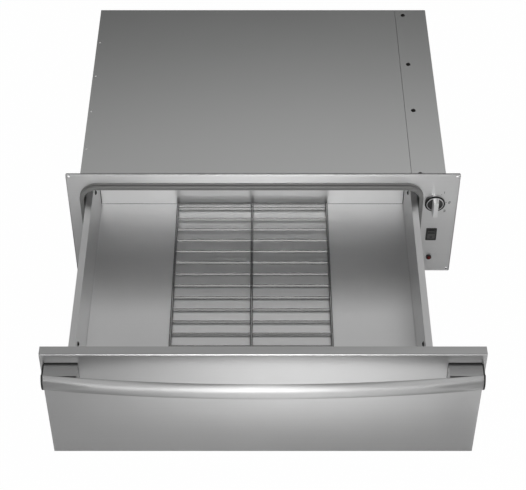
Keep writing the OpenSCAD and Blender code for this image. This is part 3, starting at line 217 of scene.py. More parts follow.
def metal(name, colour, rough, metallic=1.0, grain=(3, 1500, 1500), tone=0.05, gloss=0.05,
          relief=0.15, cloud=9, cloud_tone=0.02, cloud_gloss=0.03, bare_above=None, **constants):
    """A finish whose noise is stretched along the grain: it moves the colour's tone, the
    roughness and a shallow relief, and a wide cloudy noise adds handling marks. Above a
    height in the object it can turn to bare metal."""
    graph = Graph(bpy.data.materials.new(name))
    spot = graph.add("ShaderNodeTexCoord", {}, {}, "Object")
    along = graph.add("ShaderNodeMapping", {}, {"Vector": spot, "Scale": grain})
    fine = graph.add("ShaderNodeTexNoise", {}, {
        "Vector": along, "Scale": 1.0, "Detail": fine_detail})
    wide = graph.add("ShaderNodeTexNoise", {}, {
        "Vector": spot, "Scale": cloud, "Detail": wide_detail})
    dark = tuple(c * (1 - tone - cloud_tone) for c in colour)
    light = tuple(min(1, c * (1 + tone + cloud_tone)) for c in colour)
    share = (fine - 0.5) * (tone / (tone + cloud_tone)) + (wide - 0.5) * (
        cloud_tone / (tone + cloud_tone)) + 0.5
    sockets = {
        "Base Color": graph.mix(share, (*dark, 1), (*light, 1)),
        "Roughness": (fine - 0.5) * gloss + (wide - 0.5) * cloud_gloss + rough,
        "Metallic": metallic,
        "Normal": graph.add("ShaderNodeBump", {}, {
            "Height": fine, "Strength": relief, "Distance": bump_depth}),
        **constants,
    }
    if bare_above is not None:
        height = graph.add("ShaderNodeSeparateXYZ", {}, {"Vector": spot}, 2)
        sockets["Metallic"] = graph.add("ShaderNodeMapRange", {}, {
            "Value": height, "From Min": bare_above - bare_blend, "From Max": bare_above,
            "To Min": metallic, "To Max": 1.0})
    graph.add("ShaderNodeOutputMaterial", {}, {
        "Surface": graph.add("ShaderNodeBsdfPrincipled", {}, sockets)})
    return graph.owner


def settle(mesh, name, material, body, stands_for, bevel=0.0, steps=2):
    """Puts a finished mesh into the scene as a piece that rides on its body. Where a bevel is
    given, it rounds every sharp edge to that width, in metres."""
    shown = bpy.data.objects.new(name, mesh)
    bpy.context.scene.collection.objects.link(shown)
    mesh.materials.clear()
    mesh.materials.append(material)
    mesh.shade_smooth()
    mesh.set_sharp_from_angle(angle=sharp_angle)
    if bevel:
        rounding = shown.modifiers.new("eased edges", "BEVEL")
        rounding.width, rounding.segments = bevel, steps
        rounding.limit_method, rounding.angle_limit = "ANGLE", sharp_angle
        rounding.harden_normals = True
    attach(shown, body)
    if stands_for:
        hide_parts(*stands_for)


def eased(node, material, body, bevel, corner=None, corner_r=0.0, corner_steps=5):
    """A copy of a folded or machined CAD node with its triangles merged and its flat faces
    joined, whose edges are rounded by a narrow bevel. Corner edges get a wider one first."""
    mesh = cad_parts[node].data.copy()
    mesh.name = node + "_eased"
    work = bmesh.new()
    work.from_mesh(mesh)
    bmesh.ops.remove_doubles(work, verts=work.verts, dist=merge_reach)
    bmesh.ops.dissolve_limit(work, angle_limit=flat_angle, verts=work.verts, edges=work.edges,
                             delimit=set())
    if corner:
        chosen = [e for e in work.edges if all(corner(v.co) for v in e.verts)]
        bmesh.ops.bevel(work, geom=chosen, offset=corner_r, segments=corner_steps, profile=0.5,
                        affect="EDGES")
    work.to_mesh(mesh)
    work.free()
    settle(mesh, node + "_sheet", material, body, [node], bevel)


flange_low, flange_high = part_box("front_flange")
corner_reach = 1e-4


def at_flange_corner(point):
    """Whether a point is on one of the four outer corner edges of the flange."""
    return (abs(point.x) > flange_high.x - corner_reach
            and abs(point.z) > flange_high.z - corner_reach)


along_x = {"Anisotropic": 0.9, "Anisotropic Rotation": 0.25}
# The flange's brushed stainless is a lighter copy of the steel of the front skin and handle:
# painted light that brightens the strip above the mouth.
brushed = metal("brushed_stainless", (0.82, 0.82, 0.82), 0.46, relief=0.06, **along_x)
eased("front_flange", brushed, "case", bevel=0.0002,
      corner=at_flange_corner, corner_r=0.002)


# Seal: an extruded silicone strip with two round beads on its outer side and a groove between
# them, bent round the mouth and joined at the bottom. Sizes from here on are in millimetres,
# but those of bevels and materials stay in metres.
to_metres, to_mm, sliver = 0.001, 1000, 1e-7


def piece(name, patches, material, body, stands_for, bevel=0.0, steps=2):
    """Joins grids of points, in millimetres, into one mesh with its doubles merged and its
    faces turned outwards."""
    points, faces, count = [], [], 0
    for patch in patches:
        rows, columns = patch.shape[:2]
        index = count + np.arange(rows * columns).reshape(rows, columns)
        quads = np.stack([index[:-1, :-1], index[1:, :-1], index[1:, 1:], index[:-1, 1:]], -1)
        points.append(patch.reshape(-1, 3))
        faces.append(quads.reshape(-1, 4))
        count += rows * columns
    mesh = bpy.data.meshes.new(name)
    mesh.from_pydata(np.concatenate(points) * to_metres, [], np.concatenate(faces).tolist())
    work = bmesh.new()
    work.from_mesh(mesh)
    bmesh.ops.remove_doubles(work, verts=work.verts, dist=merge_reach)
    bmesh.ops.dissolve_degenerate(work, edges=work.edges, dist=sliver)
    bmesh.ops.recalc_face_normals(work, faces=work.faces)
    work.to_mesh(mesh)
    work.free()
    settle(mesh, name, material, body, stands_for, bevel, steps)


def arc(centre, radius, start, end, steps):
    """Points on a circle in a plane, from one angle to another in degrees."""
    turn = np.radians(np.linspace(start, end, steps))
    return np.array(centre) + radius * np.stack([np.cos(turn), np.sin(turn)], -1)


def moulded(name, colour, rough, grain=900, tone=0.06, relief=0.25):
    """A moulded plastic or rubber finish: fine even grain, no metal."""
    return metal(name, colour, rough, metallic=0.0, grain=(grain, grain, grain), tone=tone,
                 gloss=0.1, relief=relief, cloud=14, cloud_tone=0.04, cloud_gloss=0.06)


mouth_centre_x, mouth_half_w, mouth_half_h, mouth_r = -22.0, 322.0, 101.5, 26.0
flange_face, seal_top = -1.2, -13.7
seal_h, seal_reach, bead_r, lip_ease = flange_face - seal_top, 8.5, 2.6, 0.6
bead_out, bead_wrap, bead_steps, turn_steps = seal_reach - bead_r, 115, 18, 17
groove_depth, groove_share = 3.4, 1.7
groove_out, groove_start = bead_out - groove_depth, bead_r * groove_share
# The section's points are how far out of the mouth's edge, and how far off the flange
seal_section = np.concatenate([
    [[0.0, 0.0]], arc((bead_out, bead_r), bead_r, -90, bead_wrap, bead_steps),
    [[groove_out, groove_start], [groove_out, seal_h - groove_start]],
    arc((bead_out, seal_h - bead_r), bead_r, -bead_wrap, 90, bead_steps),
    [[lip_ease, seal_h], [0.0, seal_h - lip_ease], [0.0, 0.0]]])
corner_turns = [arc((0, 0), 1.0, a, a + 90, turn_steps) for a in (0, 90, 180, 270)]
corner_places = np.array([(1, 1), (-1, 1), (-1, -1), (1, -1)]) * [
    mouth_half_w - mouth_r, mouth_half_h - mouth_r]
outward = np.concatenate(corner_turns + [corner_turns[0][:1]])
ring = np.concatenate([c + mouth_r * t for c, t in zip(corner_places, corner_turns)]
                      + [corner_places[:1] + mouth_r * corner_turns[0][:1]])
# Each point of the mouth's outline carries the section, turned outwards there
seal_grid = np.empty((len(ring), len(seal_section), 3))
seal_grid[..., 0] = mouth_centre_x + ring[:, None, 0] + outward[:, None, 0] * seal_section[:, 0]
seal_grid[..., 2] = ring[:, None, 1] + outward[:, None, 1] * seal_section[:, 0]
seal_grid[..., 1] = flange_face - seal_section[:, 1]
seal_rubber = moulded("seal_rubber", (0.25, 0.25, 0.245), 0.32, relief=0.05)
piece("cavity_seal_strip", [seal_grid], seal_rubber, "case", ["cavity_seal"])


# Case: galvanised steel sheets folded at their edges, riveted down the left side and screwed
# under the cover on the right.
case_sheet = metal("galvanised_case", (0.57, 0.575, 0.57), 0.21, grain=(260, 6, 260), tone=0.02,
                   gloss=0.01, relief=0.0, cloud=4, cloud_gloss=0.01)
for node in ("case_top", "case_left_side", "case_bottom", "case_back", "bay_divider",
             "control_cover"):
    eased(node, case_sheet, "case", bevel=0.0003)


# Screws and rivets of the case: dark round-head sheet screws with a cross recess, and small
# bright pop rivets down the left edge of the top.
def lathe(profile, centre, axis, steps=48):
    """A profile of (radius, height) pairs turned round an axis through a centre; height runs
    along the axis, which is 0, 1 or 2 for X, Y or Z."""
    turn = np.linspace(0, 2 * np.pi, steps + 1)
    radius, rise = np.array(profile, float).T
    grid = np.zeros((len(radius), steps + 1, 3))
    grid[..., (axis + 1) % 3] = radius[:, None] * np.cos(turn)
    grid[..., (axis + 2) % 3] = radius[:, None] * np.sin(turn)
    grid[..., axis] = rise[:, None]
    return grid + np.array(centre, float)


dome_steps, tip_l, tip_share = 13, 0.6, 0.5
# The cross recess, as shares of the head: an arm's half width and the slope of its walls, its
# reach and the slope of its ends, and its depth
arm_half, arm_slope, arm_reach, arm_end, recess_depth = 0.16, 0.07, 0.6, 0.12, 0.5


def screw_head(centre, axis, side, radius, height, shank_r, shank_l):
    """A domed head whose top is sunk by a cross: the depth follows how far a point lies inside
    either arm. The shank goes the other way."""
    ball = (radius * radius + height * height) / (2 * height)
    dome_r = radius * np.linspace(0, 1, dome_steps)
    dome_h = np.sqrt(ball * ball - dome_r * dome_r) - ball + height
    profile = np.concatenate([
        np.stack([dome_r, dome_h], -1),
        [[shank_r, 0.0], [shank_r, -shank_l + tip_l], [shank_r * tip_share, -shank_l],
         [0.0, -shank_l]]])
    grid = lathe(profile, (0, 0, 0), axis)
    a, b = np.abs(grid[..., (axis + 1) % 3]), np.abs(grid[..., (axis + 2) % 3])
    across, along = np.minimum(a, b), np.maximum(a, b)
    inside = np.clip((radius * arm_half - across) / (radius * arm_slope), 0, 1) * np.clip(
        (radius * arm_reach - along) / (radius * arm_end), 0, 1)
    top = np.zeros(grid.shape[:2])
    top[:dome_steps] = 1
    grid[..., axis] -= inside * top * height * recess_depth
    grid[..., axis] *= side
    return grid + np.array(centre, float)


dark_steel = metal("dark_screws", (0.03, 0.029, 0.028), 0.3, grain=(700, 700, 700), tone=0.15,
                   relief=0.1)
cover_screw_x, case_top_z, case_back_y, case_right_x = 300.8, 119.5, 535.8, 350.0
back_screw_x, side_screw_y, side_screw_z = 314.8, 528.8, 92.5
cover_shares = (0.025, 0.375, 0.65, 0.965)
cover_head = {"radius": 4.8, "height": 3, "shank_r": 1.9, "shank_l": 4}
back_head = {"radius": 4, "height": 2.4, "shank_r": 1.9, "shank_l": 4}
case_heads = [screw_head((cover_screw_x, case_back_y * share, case_top_z), 2, 1, **cover_head)
              for share in cover_shares]
for centre_x, centre_y, axis in ((back_screw_x, case_back_y, 1), (case_right_x, side_screw_y, 0)):
    case_heads += [screw_head((centre_x, centre_y, z), axis, 1, **back_head)
                   for z in (side_screw_z, -side_screw_z)]
piece("case_screw_heads", case_heads, dark_steel, "case", ["case_screws"])

rivet_x, rivet_pitch, rivet_front, rivet_count, rivet_steps = -344.0, 112.0, 85.5, 4, 20
# From the sunk end of the pin over the domed collar down the shank
rivet_profile = np.concatenate([
    [[0.0, 0.45], [0.55, 0.45], [0.75, 0.75]], arc((0.9, 0.0), 0.8, 80, 10, 6) + [0.5, 0.0],
    [[2.2, 0.0], [1.6, 0.0], [1.6, -2.0], [0.0, -2.0]]])
rivets = [lathe(rivet_profile, (rivet_x, rivet_front + rivet_pitch * i, case_top_z), 2,
                rivet_steps) for i in range(rivet_count)]
bright_steel = metal("bright_rivets", (0.86, 0.86, 0.85), 0.28, grain=(900, 900, 900))
piece("top_rivet_heads", rivets, bright_steel, "case", ["top_rivets"])


# Drawer: a stainless floor and rear wall spot-welded to two bent sides, whose top edges are
# folded over as rims. Dark round-head screws fix each side to its slide.
# The floor and rear wall get a lighter copy of the drawer's stainless than the sides: painted light
# that brightens the drawer floor.
drawer_steel = metal("drawer_stainless", (0.86, 0.86, 0.86), 0.37, grain=(5, 900, 900), tone=0.02,
                     gloss=0.02, relief=0.0, cloud_gloss=0.01)
side_steel = metal("drawer_side_stainless", (0.78, 0.78, 0.78), 0.36, grain=(900, 5, 900),
                   tone=0.02, gloss=0.02, relief=0.0, cloud_gloss=0.01)
for node, steel, bevel in (("drawer_floor", drawer_steel, 0.0002),
                           ("drawer_rear", drawer_steel, 0.0002),
                           ("drawer_left_side", side_steel, 0.0005),
                           ("drawer_right_side", side_steel, 0.0005)):
    eased(node, steel, "drawer", bevel)

drawer_in_left, drawer_in_right, slide_z, wall_screw_places = -328.0, 284.0, 50.0, (-355, 35)
wall_head = {"radius": 5, "height": 2.8, "shank_r": 2.0, "shank_l": 4.2}
wall_screws = [screw_head((x, y, slide_z), 0, side, **wall_head)
               for x, side in ((drawer_in_left, 1), (drawer_in_right, -1))
               for y in wall_screw_places]
piece("drawer_wall_screws", wall_screws, dark_steel, "drawer",
      ["drawer_side_screws"])


# Seams of the drawer: a narrow bend where the floor meets each side, and near-black tubes in the
# corners where the rear wall meets the sides and the floor, painted shade for the open seams there.
nearly_x = 0.9


def tube(path, radius, sides=16):
    """A round bar along a path of points: rings square to the path, closed at both ends. The
    rings start level with X, or with Z where the path runs nearly along X."""
    path = np.array(path, float)
    along = np.gradient(path, axis=0)
    along /= np.linalg.norm(along, axis=1, keepdims=True)
    level = np.where(np.abs(along[:, :1]) < nearly_x, [[1.0, 0, 0]], [[0, 0, 1.0]])
    first = np.cross(along, level)
    first /= np.linalg.norm(first, axis=1, keepdims=True)
    second = np.cross(along, first)
    turn = np.linspace(0, 2 * np.pi, sides + 1)
    rings = path[:, None] + radius * (
        first[:, None] * np.cos(turn)[:, None] + second[:, None] * np.sin(turn)[:, None])
    cap = np.repeat(path[[0, -1], None], sides + 1, 1)
    return np.concatenate([cap[:1], rings, cap[1:]])


drawer_floor_z, drawer_rear_y, drawer_front_y, drawer_top_z = -41.5, 99.0, -434.0, 76.0
bend_r, side_seam_r, floor_seam_r = 1.0, 0.7, 0.45
bends = [tube([(x, drawer_front_y, drawer_floor_z), (x, drawer_rear_y, drawer_floor_z)], bend_r)
         for x in (drawer_in_left + bend_r / 2, drawer_in_right - bend_r / 2)]
seams = [tube([(x, drawer_rear_y, drawer_floor_z), (x, drawer_rear_y, drawer_top_z)], side_seam_r)
         for x in (drawer_in_left + side_seam_r / 2, drawer_in_right - side_seam_r / 2)]
seams.append(tube([(drawer_in_left, drawer_rear_y, drawer_floor_z),
                   (drawer_in_right, drawer_rear_y, drawer_floor_z)], floor_seam_r))
# Near-black finish of the seam tubes: painted shade in the open joints.
seam_shade = moulded("seam_shade", (0.02, 0.02, 0.02), 0.6)
piece("drawer_floor_bends", bends, side_steel, "drawer", None)
piece("drawer_rear_seams", seams, seam_shade, "drawer", None)


# Cover seam: a near-black tube along the joint where the top strip of the control cover lies flush
# beside the edge of the case top, from just behind the flange to the back; painted shade for the
# open joint.
cover_seam_r, cover_seam_sink, cover_seam_sides = 0.5, 0.2, 8
cover_x, cover_seam_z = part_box("control_cover")[0].x * to_mm, case_top_z - cover_seam_sink
seam_start_share, seam_end_gap = 0.005, 1
cover_seam_front, cover_seam_back = case_back_y * seam_start_share, case_back_y - seam_end_gap
cover_joint = tube([(cover_x, cover_seam_front, cover_seam_z),
                    (cover_x, cover_seam_back, cover_seam_z)], cover_seam_r, cover_seam_sides)
piece("cover_seam", [cover_joint], seam_shade, "case", None)


# Flange edge: a thin near-black round cord behind the edge of the flange, painted shade that
# draws the dark shadow line along the flange's edge.
cord_r, cord_sides = 1.6, 12
cord_low, cord_high = (np.array([p.x, p.z]) * to_mm for p in (flange_low, flange_high))
(left_x, low_z), (right_x, high_z) = cord_low + cord_r, cord_high - cord_r
cord_corners = [(left_x, cord_r, low_z), (right_x, cord_r, low_z), (right_x, cord_r, high_z),
                (left_x, cord_r, high_z), (left_x, cord_r, low_z)]
cords = [tube([a, b], cord_r, cord_sides) for a, b in zip(cord_corners, cord_corners[1:])]
# Near-black finish of the cord: painted shade along the flange's edge.
flange_shade_finish = moulded("flange_edge_painted_shade", (0.015, 0.015, 0.015), 0.7)
piece("flange_shade_cord", cords, flange_shade_finish, "case", None)


# Rack: three long wires with their ends turned down as feet, and nineteen thinner cross wires
# welded under them, all in polished stainless wire. It stands loose on the drawer floor.
rack_low, rack_high = (np.array(p) * to_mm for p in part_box("rack"))
long_r, cross_r, weld = 2.5, 2.0, 0.5
rack_floor_z, rack_long_z = rack_low[2], rack_high[2] - long_r
rack_cross_z = rack_long_z - long_r - cross_r + weld
foot_y0, foot_y1 = rack_low[1] + long_r, rack_high[1] - long_r
foot_bend, foot_steps = 5.0, 7
rack_left, rack_right = rack_low[0] + long_r, rack_high[0] - long_r
end_gap, inner_count = 9, 17
end_wires = np.array([foot_y0, foot_y1]) + np.array([1, -1]) * (long_r + cross_r - weld)
inner_wires = np.linspace(end_wires[0] + end_gap, end_wires[1] - end_gap, inner_count)


def long_wire(x):
    """Up out of the front foot, along the rack and down into the rear foot."""
    bend_z = rack_long_z - foot_bend
    front = arc((foot_y0 + foot_bend, bend_z), foot_bend, 180, 90, foot_steps)
    rear = arc((foot_y1 - foot_bend, bend_z), foot_bend, 90, 0, foot_steps)
    line = np.concatenate([[[foot_y0, rack_floor_z]], front, rear, [[foot_y1, rack_floor_z]]])
    return np.column_stack([np.full(len(line), x), line])


long_places = (rack_left, mouth_centre_x, rack_right)
rack_tubes = [tube(long_wire(x), long_r) for x in long_places]
rack_tubes += [tube([(x, y, rack_cross_z) for x in long_places], cross_r)
               for y in (*end_wires, *inner_wires)]
# The wire's colour is far darker than polished stainless: painted shade, so that the long wires
# read dark over the floor.
rack_wire = metal("rack_wire", (0.36, 0.36, 0.36), 0.1, grain=(300, 300, 300), tone=0.04,
                  gloss=0.04, relief=0.0)
piece("rack_wires", rack_tubes, rack_wire, "rack", ["rack"])


# Drawer front: a folded stainless skin over an inner panel, brushed along its width, with glass
# wool between the two.
# The front skin's stainless is a darker copy of the flange's brushed steel: painted shade that dims
# its reflections.
front_steel = metal("front_stainless", (0.59, 0.59, 0.59), 0.34, relief=0.06,
                    **dict(along_x, Anisotropic=0.5))
inner_steel = metal("inner_panel_steel", (0.58, 0.58, 0.57), 0.34, grain=(5, 700, 700))
eased("front_skin", front_steel, "drawer", bevel=0.0004)
eased("front_inner_panel", inner_steel, "drawer", bevel=0.0002)


# Handle: a bowed stainless extrusion with a bulging face, on two posts with thin black shims under
# them (painted shade at each post's foot), held by screws from inside the drawer front. Black
# moulded caps close its ends.
bar_half, bar_mid_z, bar_half_h = 371.0, 96.0, 19.0
bar_bulge, bar_bow, bar_end_y = 11.0, 20.0, -479.3
bar_steps, face_steps = 97, 33
bow_r = (bar_half ** 2 + bar_bow ** 2) / (2 * bar_bow)
bulge_r = (bar_half_h ** 2 + bar_bulge ** 2) / (2 * bar_bulge)
bar_x = np.linspace(-bar_half, bar_half, bar_steps)
bulge_turn = np.arcsin(bar_half_h / bulge_r)
section_turn = np.linspace(-bulge_turn, bulge_turn, face_steps)
bar_out = np.append(bulge_r * np.cos(section_turn) - bulge_r + bar_bulge, 0.0)
bar_rise = np.append(bulge_r * np.sin(section_turn), -bar_half_h)
# The back of the bar is an arc of the bow's radius, and a point of its section lies further out
# from the bow's centre by its own bulge
bar_grid = np.empty((len(bar_x), len(bar_out), 3))
bar_grid[..., 0] = bar_x[:, None]
bar_grid[..., 1] = bar_end_y - bar_bow + bow_r - np.sqrt(
    (bow_r + bar_out) ** 2 - bar_x[:, None] ** 2)
bar_grid[..., 2] = bar_mid_z + bar_rise
bar_ends = np.repeat(bar_grid[[0, -1]].mean(1, keepdims=True), bar_grid.shape[1], 1)
closed_bar = np.concatenate([bar_ends[:1], bar_grid, bar_ends[1:]])
# The handle's stainless is darker still than the front skin's: painted shade that tones down the
# bar's highlight.
handle_steel = metal("handle_stainless", (0.47, 0.47, 0.47), 0.4, relief=0.04,
                     **dict(along_x, Anisotropic=0.7))
piece("handle_bar_bowed", [closed_bar], handle_steel, "drawer",
      ["handle_bar"], bevel=0.0009, steps=3)
eased("handle_posts", handle_steel, "drawer", bevel=0.0008)


def box_grids(low, high):
    """The six faces of a box between two corners, as grids of four points."""
    ends = np.array([low, high], float)
    patches = []
    for axis in range(3):
        first, second = (axis + 1) % 3, (axis + 2) % 3
        for side in range(2):
            grid = np.empty((2, 2, 3))
            grid[..., axis] = ends[side, axis]
            grid[..., first] = ends[:, None, first]
            grid[..., second] = ends[None, :, second]
            patches.append(grid)
    return patches


post_in, post_out, skin_y, shim_t, shim_edge = 313.7, 371.3, -453.0, 0.5, 0.3
shim_half_h = bar_half_h + shim_edge
shims = []
for shim_left, shim_right in ((-post_out, -post_in), (post_in, post_out)):
    shims += box_grids((shim_left, skin_y - shim_t, bar_mid_z - shim_half_h),
                       (shim_right, skin_y, bar_mid_z + shim_half_h))
# Near-black shims a little wider than the posts: painted shade where each post meets the skin.
post_foot_shade = moulded("post_foot_painted_shade", (0.015, 0.015, 0.015), 0.5)
piece("handle_post_shade_shims", shims, post_foot_shade, "drawer", None)
cap_plastic = moulded("end_cap_black", (0.022, 0.022, 0.022), 0.4)
eased("handle_end_caps", cap_plastic, "drawer", bevel=0.0005)


# Knob: a chromed ring with a black rim on the flange, and in it the knob itself, a chromed
# skirt, a dark dial disc and a tapered satin grip whose top is bare metal.
control_x, knob_z, knob_steps = 332.0, 60.0, 72
ring_black = moulded("knob_ring_black", (0.01, 0.01, 0.01), 0.5)
chrome = metal("knob_chrome", (0.8, 0.8, 0.8), 0.12, grain=(400, 400, 400), tone=0.02,
               gloss=0.03, relief=0.03)
dial_dark = metal("knob_dial_dark", (0.1, 0.1, 0.1), 0.32, grain=(900, 900, 900), tone=0.08)
# Each profile is a closed line of pairs: the radius, and the place along Y
bezel_rim = [[16.9, -6.6], [16.9, -8.2], [17.1, -8.4], [19.3, -8.4], [19.6, -8.1],
             [19.6, -6.6], [16.9, -6.6]]
bezel_wall = [[17.75, flange_face], [17.75, -6.8], [19.2, -6.8], [19.2, flange_face],
              [17.75, flange_face]]
skirt_profile = [[14.7, -4.2], [14.7, -9.0], [15.0, -9.4], [16.3, -9.3], [16.75, -8.7],
                 [16.75, -4.2], [14.7, -4.2]]
dial_profile = [[5.4, -6.6], [5.4, -7.8], [14.2, -7.8], [14.6, -7.6], [14.7, -6.6], [5.4, -6.6]]
for name, profile, finish, body, slot, stands_for in (
        ("knob_bezel_rim", bezel_rim, ring_black, "case", "knob_ring_black", ["knob_bezel"]),
        ("knob_bezel_wall", bezel_wall, chrome, "case", "knob_chrome", None),
        ("knob_skirt_ring", skirt_profile, chrome, "knob", "knob_chrome", ["knob_skirt"]),
        ("knob_dial_disc", dial_profile, dial_dark, "knob", "knob_dial_dark", ["knob_dial"])):
    piece(name, [lathe(profile, (control_x, 0, knob_z), 1, knob_steps)], finish, body,
          stands_for)
# How far below the grip's top its paint ends, in metres
grip_bare_top = 0.0003
grip_satin = metal("knob_grip_satin", (0.95, 0.95, 0.95), 0.25, 0.0, grain=(400, 400, 400),
                   tone=0.02, gloss=0.03, relief=0.03,
                   bare_above=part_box("knob_grip")[1].z - grip_bare_top)
eased("knob_grip", grip_satin, "knob", bevel=0.0004)


# Dial marks: a tick and a generic number at each of three settings, printed round the knob on
# the flange in dark ink.
digit_w, digit_h, stroke_r, mark_sides = 3.2, 5.0, 0.42, 8
tick_start, tick_end = 21.2, 23.4
strokes = {"top": ((0, 1), (1, 1)), "middle": ((0, 0.5), (1, 0.5)), "foot": ((0, 0), (1, 0)),
           "upper_right": ((1, 0.5), (1, 1)), "lower_right": ((1, 0), (1, 0.5)),
           "lower_left": ((0, 0), (0, 0.5))}
digits = {1: ("upper_right", "lower_right"),
          2: ("top", "upper_right", "middle", "lower_left", "foot"),
          3: ("top", "upper_right", "middle", "lower_right", "foot")}
knob_middle = np.array([control_x, knob_z])
dial_marks = []
for number, degrees, digit_far in ((1, 58, 29), (2, -4, 28.5), (3, -50, 32)):
    out = np.array([math.cos(math.radians(degrees)), math.sin(math.radians(degrees))])
    tick = knob_middle + out * [[tick_start], [tick_end]]
    dial_marks.append(tube([(x, flange_face, z) for x, z in tick], stroke_r, mark_sides))
    corner = knob_middle + out * digit_far - [digit_w / 2, digit_h / 2]
    dial_marks += [tube([(corner[0] + digit_w * a, flange_face, corner[1] + digit_h * b)
                         for a, b in strokes[stroke]], stroke_r, mark_sides)
                   for stroke in digits[number]]
mark_ink = moulded("mark_ink", (0.06, 0.06, 0.06), 0.6)
piece("dial_marks", dial_marks, mark_ink, "case", None)


# Rocker switch and indicator lamp: moulded black housings snapped into the flange, the rocker
# on its pins with two printed lines and a ring, and a red lens.
switch_plastic = moulded("switch_plastic", (0.05, 0.05, 0.048), 0.38)
rocker_plastic = moulded("rocker_plastic", (0.12, 0.12, 0.117), 0.4)
eased("switch_housing", switch_plastic, "case", bevel=0.0004)
eased("switch_rocker", rocker_plastic, "rocker", bevel=0.0004)

pivot, tilt = np.array([control_x, 3.0, -28.0]), math.radians(8)
valley, crest, wing = -5.8, -7.0, 11.7


def on_wing(x, share):
    """A point on the rocker's tilted face: x across, and a share of the way from the valley to
    the upper end, or to the lower end where it is negative."""
    out, rise = valley + (crest - valley) * abs(share), wing * share
    return pivot + [x, out * math.cos(tilt) - rise * math.sin(tilt),
                    out * math.sin(tilt) + rise * math.cos(tilt)]


line_half, line_r, line_shares = 6.5, 0.75, (0.4, 0.72)
mark_ring_r, mark_ring_line_r, mark_ring_share, mark_ring_steps = 2, 0.45, -0.55, 25
rocker_marks = [tube([on_wing(-line_half, share), on_wing(line_half, share)], line_r, mark_sides)
                for share in line_shares]
rocker_marks.append(tube([on_wing(mark_ring_r * x, mark_ring_share + mark_ring_r * z / wing)
                          for x, z in arc((0, 0), 1.0, 0, 360, mark_ring_steps)],
                         mark_ring_line_r, mark_sides))
rocker_ink = moulded("rocker_ink", (0.012, 0.012, 0.012), 0.5)
piece("rocker_marks", rocker_marks, rocker_ink, "rocker", None)
lamp_plastic = moulded("lamp_plastic", (0.02, 0.02, 0.02), 0.35)
lens_red = moulded("lamp_red", (0.16, 0.006, 0.004), 0.15, relief=0.05)
eased("lamp_housing", lamp_plastic, "case", bevel=0.0004)
eased("lamp_lens", lens_red, "case", bevel=0.0003)


# Insulation: glass wool slabs round the cavity and inside the drawer front, with an uneven,
# fibrous face. The sizes here are in metres, and the waves in radians a metre.
wool = moulded("insulation_wool", (0.72, 0.62, 0.36), 0.9, grain=350, tone=0.2, relief=0.6)
wool_pitch, wool_depth, on_plane = 0.022, 0.0009, 1e-6
wool_waves = ((310, 170, 90), (-120, 280, 210), (190, -230, 330))


def wool_slab(node, body):
    """A copy of the CAD slabs, cut by planes at an even pitch and sunk along its normals by a
    depth that follows a sum of sines of the position."""
    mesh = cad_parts[node].data.copy()
    work = bmesh.new()
    work.from_mesh(mesh)
    bmesh.ops.remove_doubles(work, verts=work.verts, dist=merge_reach)
    slab_low, slab_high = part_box(node)
    for axis in range(3):
        square = [float(n == axis) for n in range(3)]
        for step in range(1, int((slab_high[axis] - slab_low[axis]) / wool_pitch)):
            place = [0.0, 0.0, 0.0]
            place[axis] = slab_low[axis] + wool_pitch * step
            bmesh.ops.bisect_plane(work, geom=work.verts[:] + work.edges[:] + work.faces[:],
                                   plane_co=place, plane_no=square, dist=on_plane)
    bmesh.ops.triangulate(work, faces=work.faces)
    work.to_mesh(mesh)
    work.free()
    count = len(mesh.vertices)
    points, normals = np.empty(count * 3), np.empty(count * 3)
    mesh.vertices.foreach_get("co", points)
    mesh.vertex_normals.foreach_get("vector", normals)
    spot, facing = points.reshape(-1, 3), normals.reshape(-1, 3)
    waves = sum(np.sin(spot @ wave) for wave in wool_waves) / len(wool_waves)
    spot -= facing * (wool_depth * (0.5 + 0.5 * waves))[:, None]
    mesh.vertices.foreach_set("co", spot.ravel())
    settle(mesh, node + "_wool", wool, body, [node])


wool_slab("insulation", "case")
wool_slab("front_insulation", "drawer")


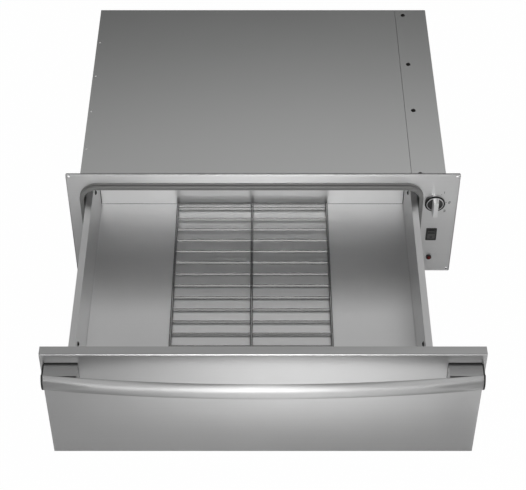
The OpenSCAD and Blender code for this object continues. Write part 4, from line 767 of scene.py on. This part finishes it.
# Everything behind the faces: liner, reflector, element, thermostat, wires, slides and cages
# keep their CAD shapes and get their own finishes.
zinc = metal("zinc_slides", (0.62, 0.64, 0.66), 0.3, grain=(400, 4, 400), tone=0.05)
copper = metal("bulb_copper", (0.75, 0.4, 0.25), 0.3, grain=(500, 500, 500))
brass = metal("brass_cages", (0.78, 0.6, 0.28), 0.28, grain=(300, 6, 300))
inner_sheet = metal("inner_steel", (0.92, 0.92, 0.92), 0.5, 0.1, grain=(200, 6, 200), tone=0.03)
reflector = metal("reflector_aluminium", (0.8, 0.8, 0.8), 0.2, grain=(4, 300, 300))
sheath = metal("element_sheath", (0.16, 0.15, 0.14), 0.45, grain=(300, 300, 300), tone=0.12)
ceramic = moulded("ceramic", (0.78, 0.75, 0.68), 0.35, grain=300, tone=0.04)
phenolic = moulded("thermostat_moulding", (0.16, 0.1, 0.06), 0.4)
nylon = moulded("rotor_nylon", (0.7, 0.68, 0.6), 0.4)
shaft = metal("shaft_steel", (0.6, 0.6, 0.6), 0.3, grain=(600, 600, 600))
cutout = metal("cutout_steel", (0.5, 0.52, 0.55), 0.3, grain=(600, 600, 600))
pvc = moulded("wire_insulation", (0.35, 0.03, 0.02), 0.35, grain=500)
bushing = moulded("bushing_rubber", (0.02, 0.02, 0.02), 0.5)
for finish, nodes in (
        (inner_sheet, ("cavity_liner", "liner_back")),
        (reflector, ("heat_reflector",)),
        (sheath, ("heating_element",)),
        (ceramic, ("element_bushings", "terminal_block")),
        (phenolic, ("thermostat_body", "thermostat_back")),
        (shaft, ("thermostat_nut", "thermostat_shaft")),
        (nylon, ("thermostat_rotor",)),
        (copper, ("sensor_bulb",)),
        (cutout, ("safety_cutout",)),
        (pvc, ("wire_harness",)),
        (bushing, ("cord_bushing",)),
        (zinc, ("left_slide_outer", "left_slide_middle", "left_slide_inner",
                "right_slide_outer", "right_slide_middle", "right_slide_inner",
                "slide_brackets", "element_clips", "bulb_clips")),
        (brass, ("outer_ball_cages", "inner_ball_cages")),
        (dark_steel, ("slide_rivets", "handle_screws", "front_screws"))):
    for node in nodes:
        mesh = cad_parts[node].data
        mesh.materials.clear()
        mesh.materials.append(finish)
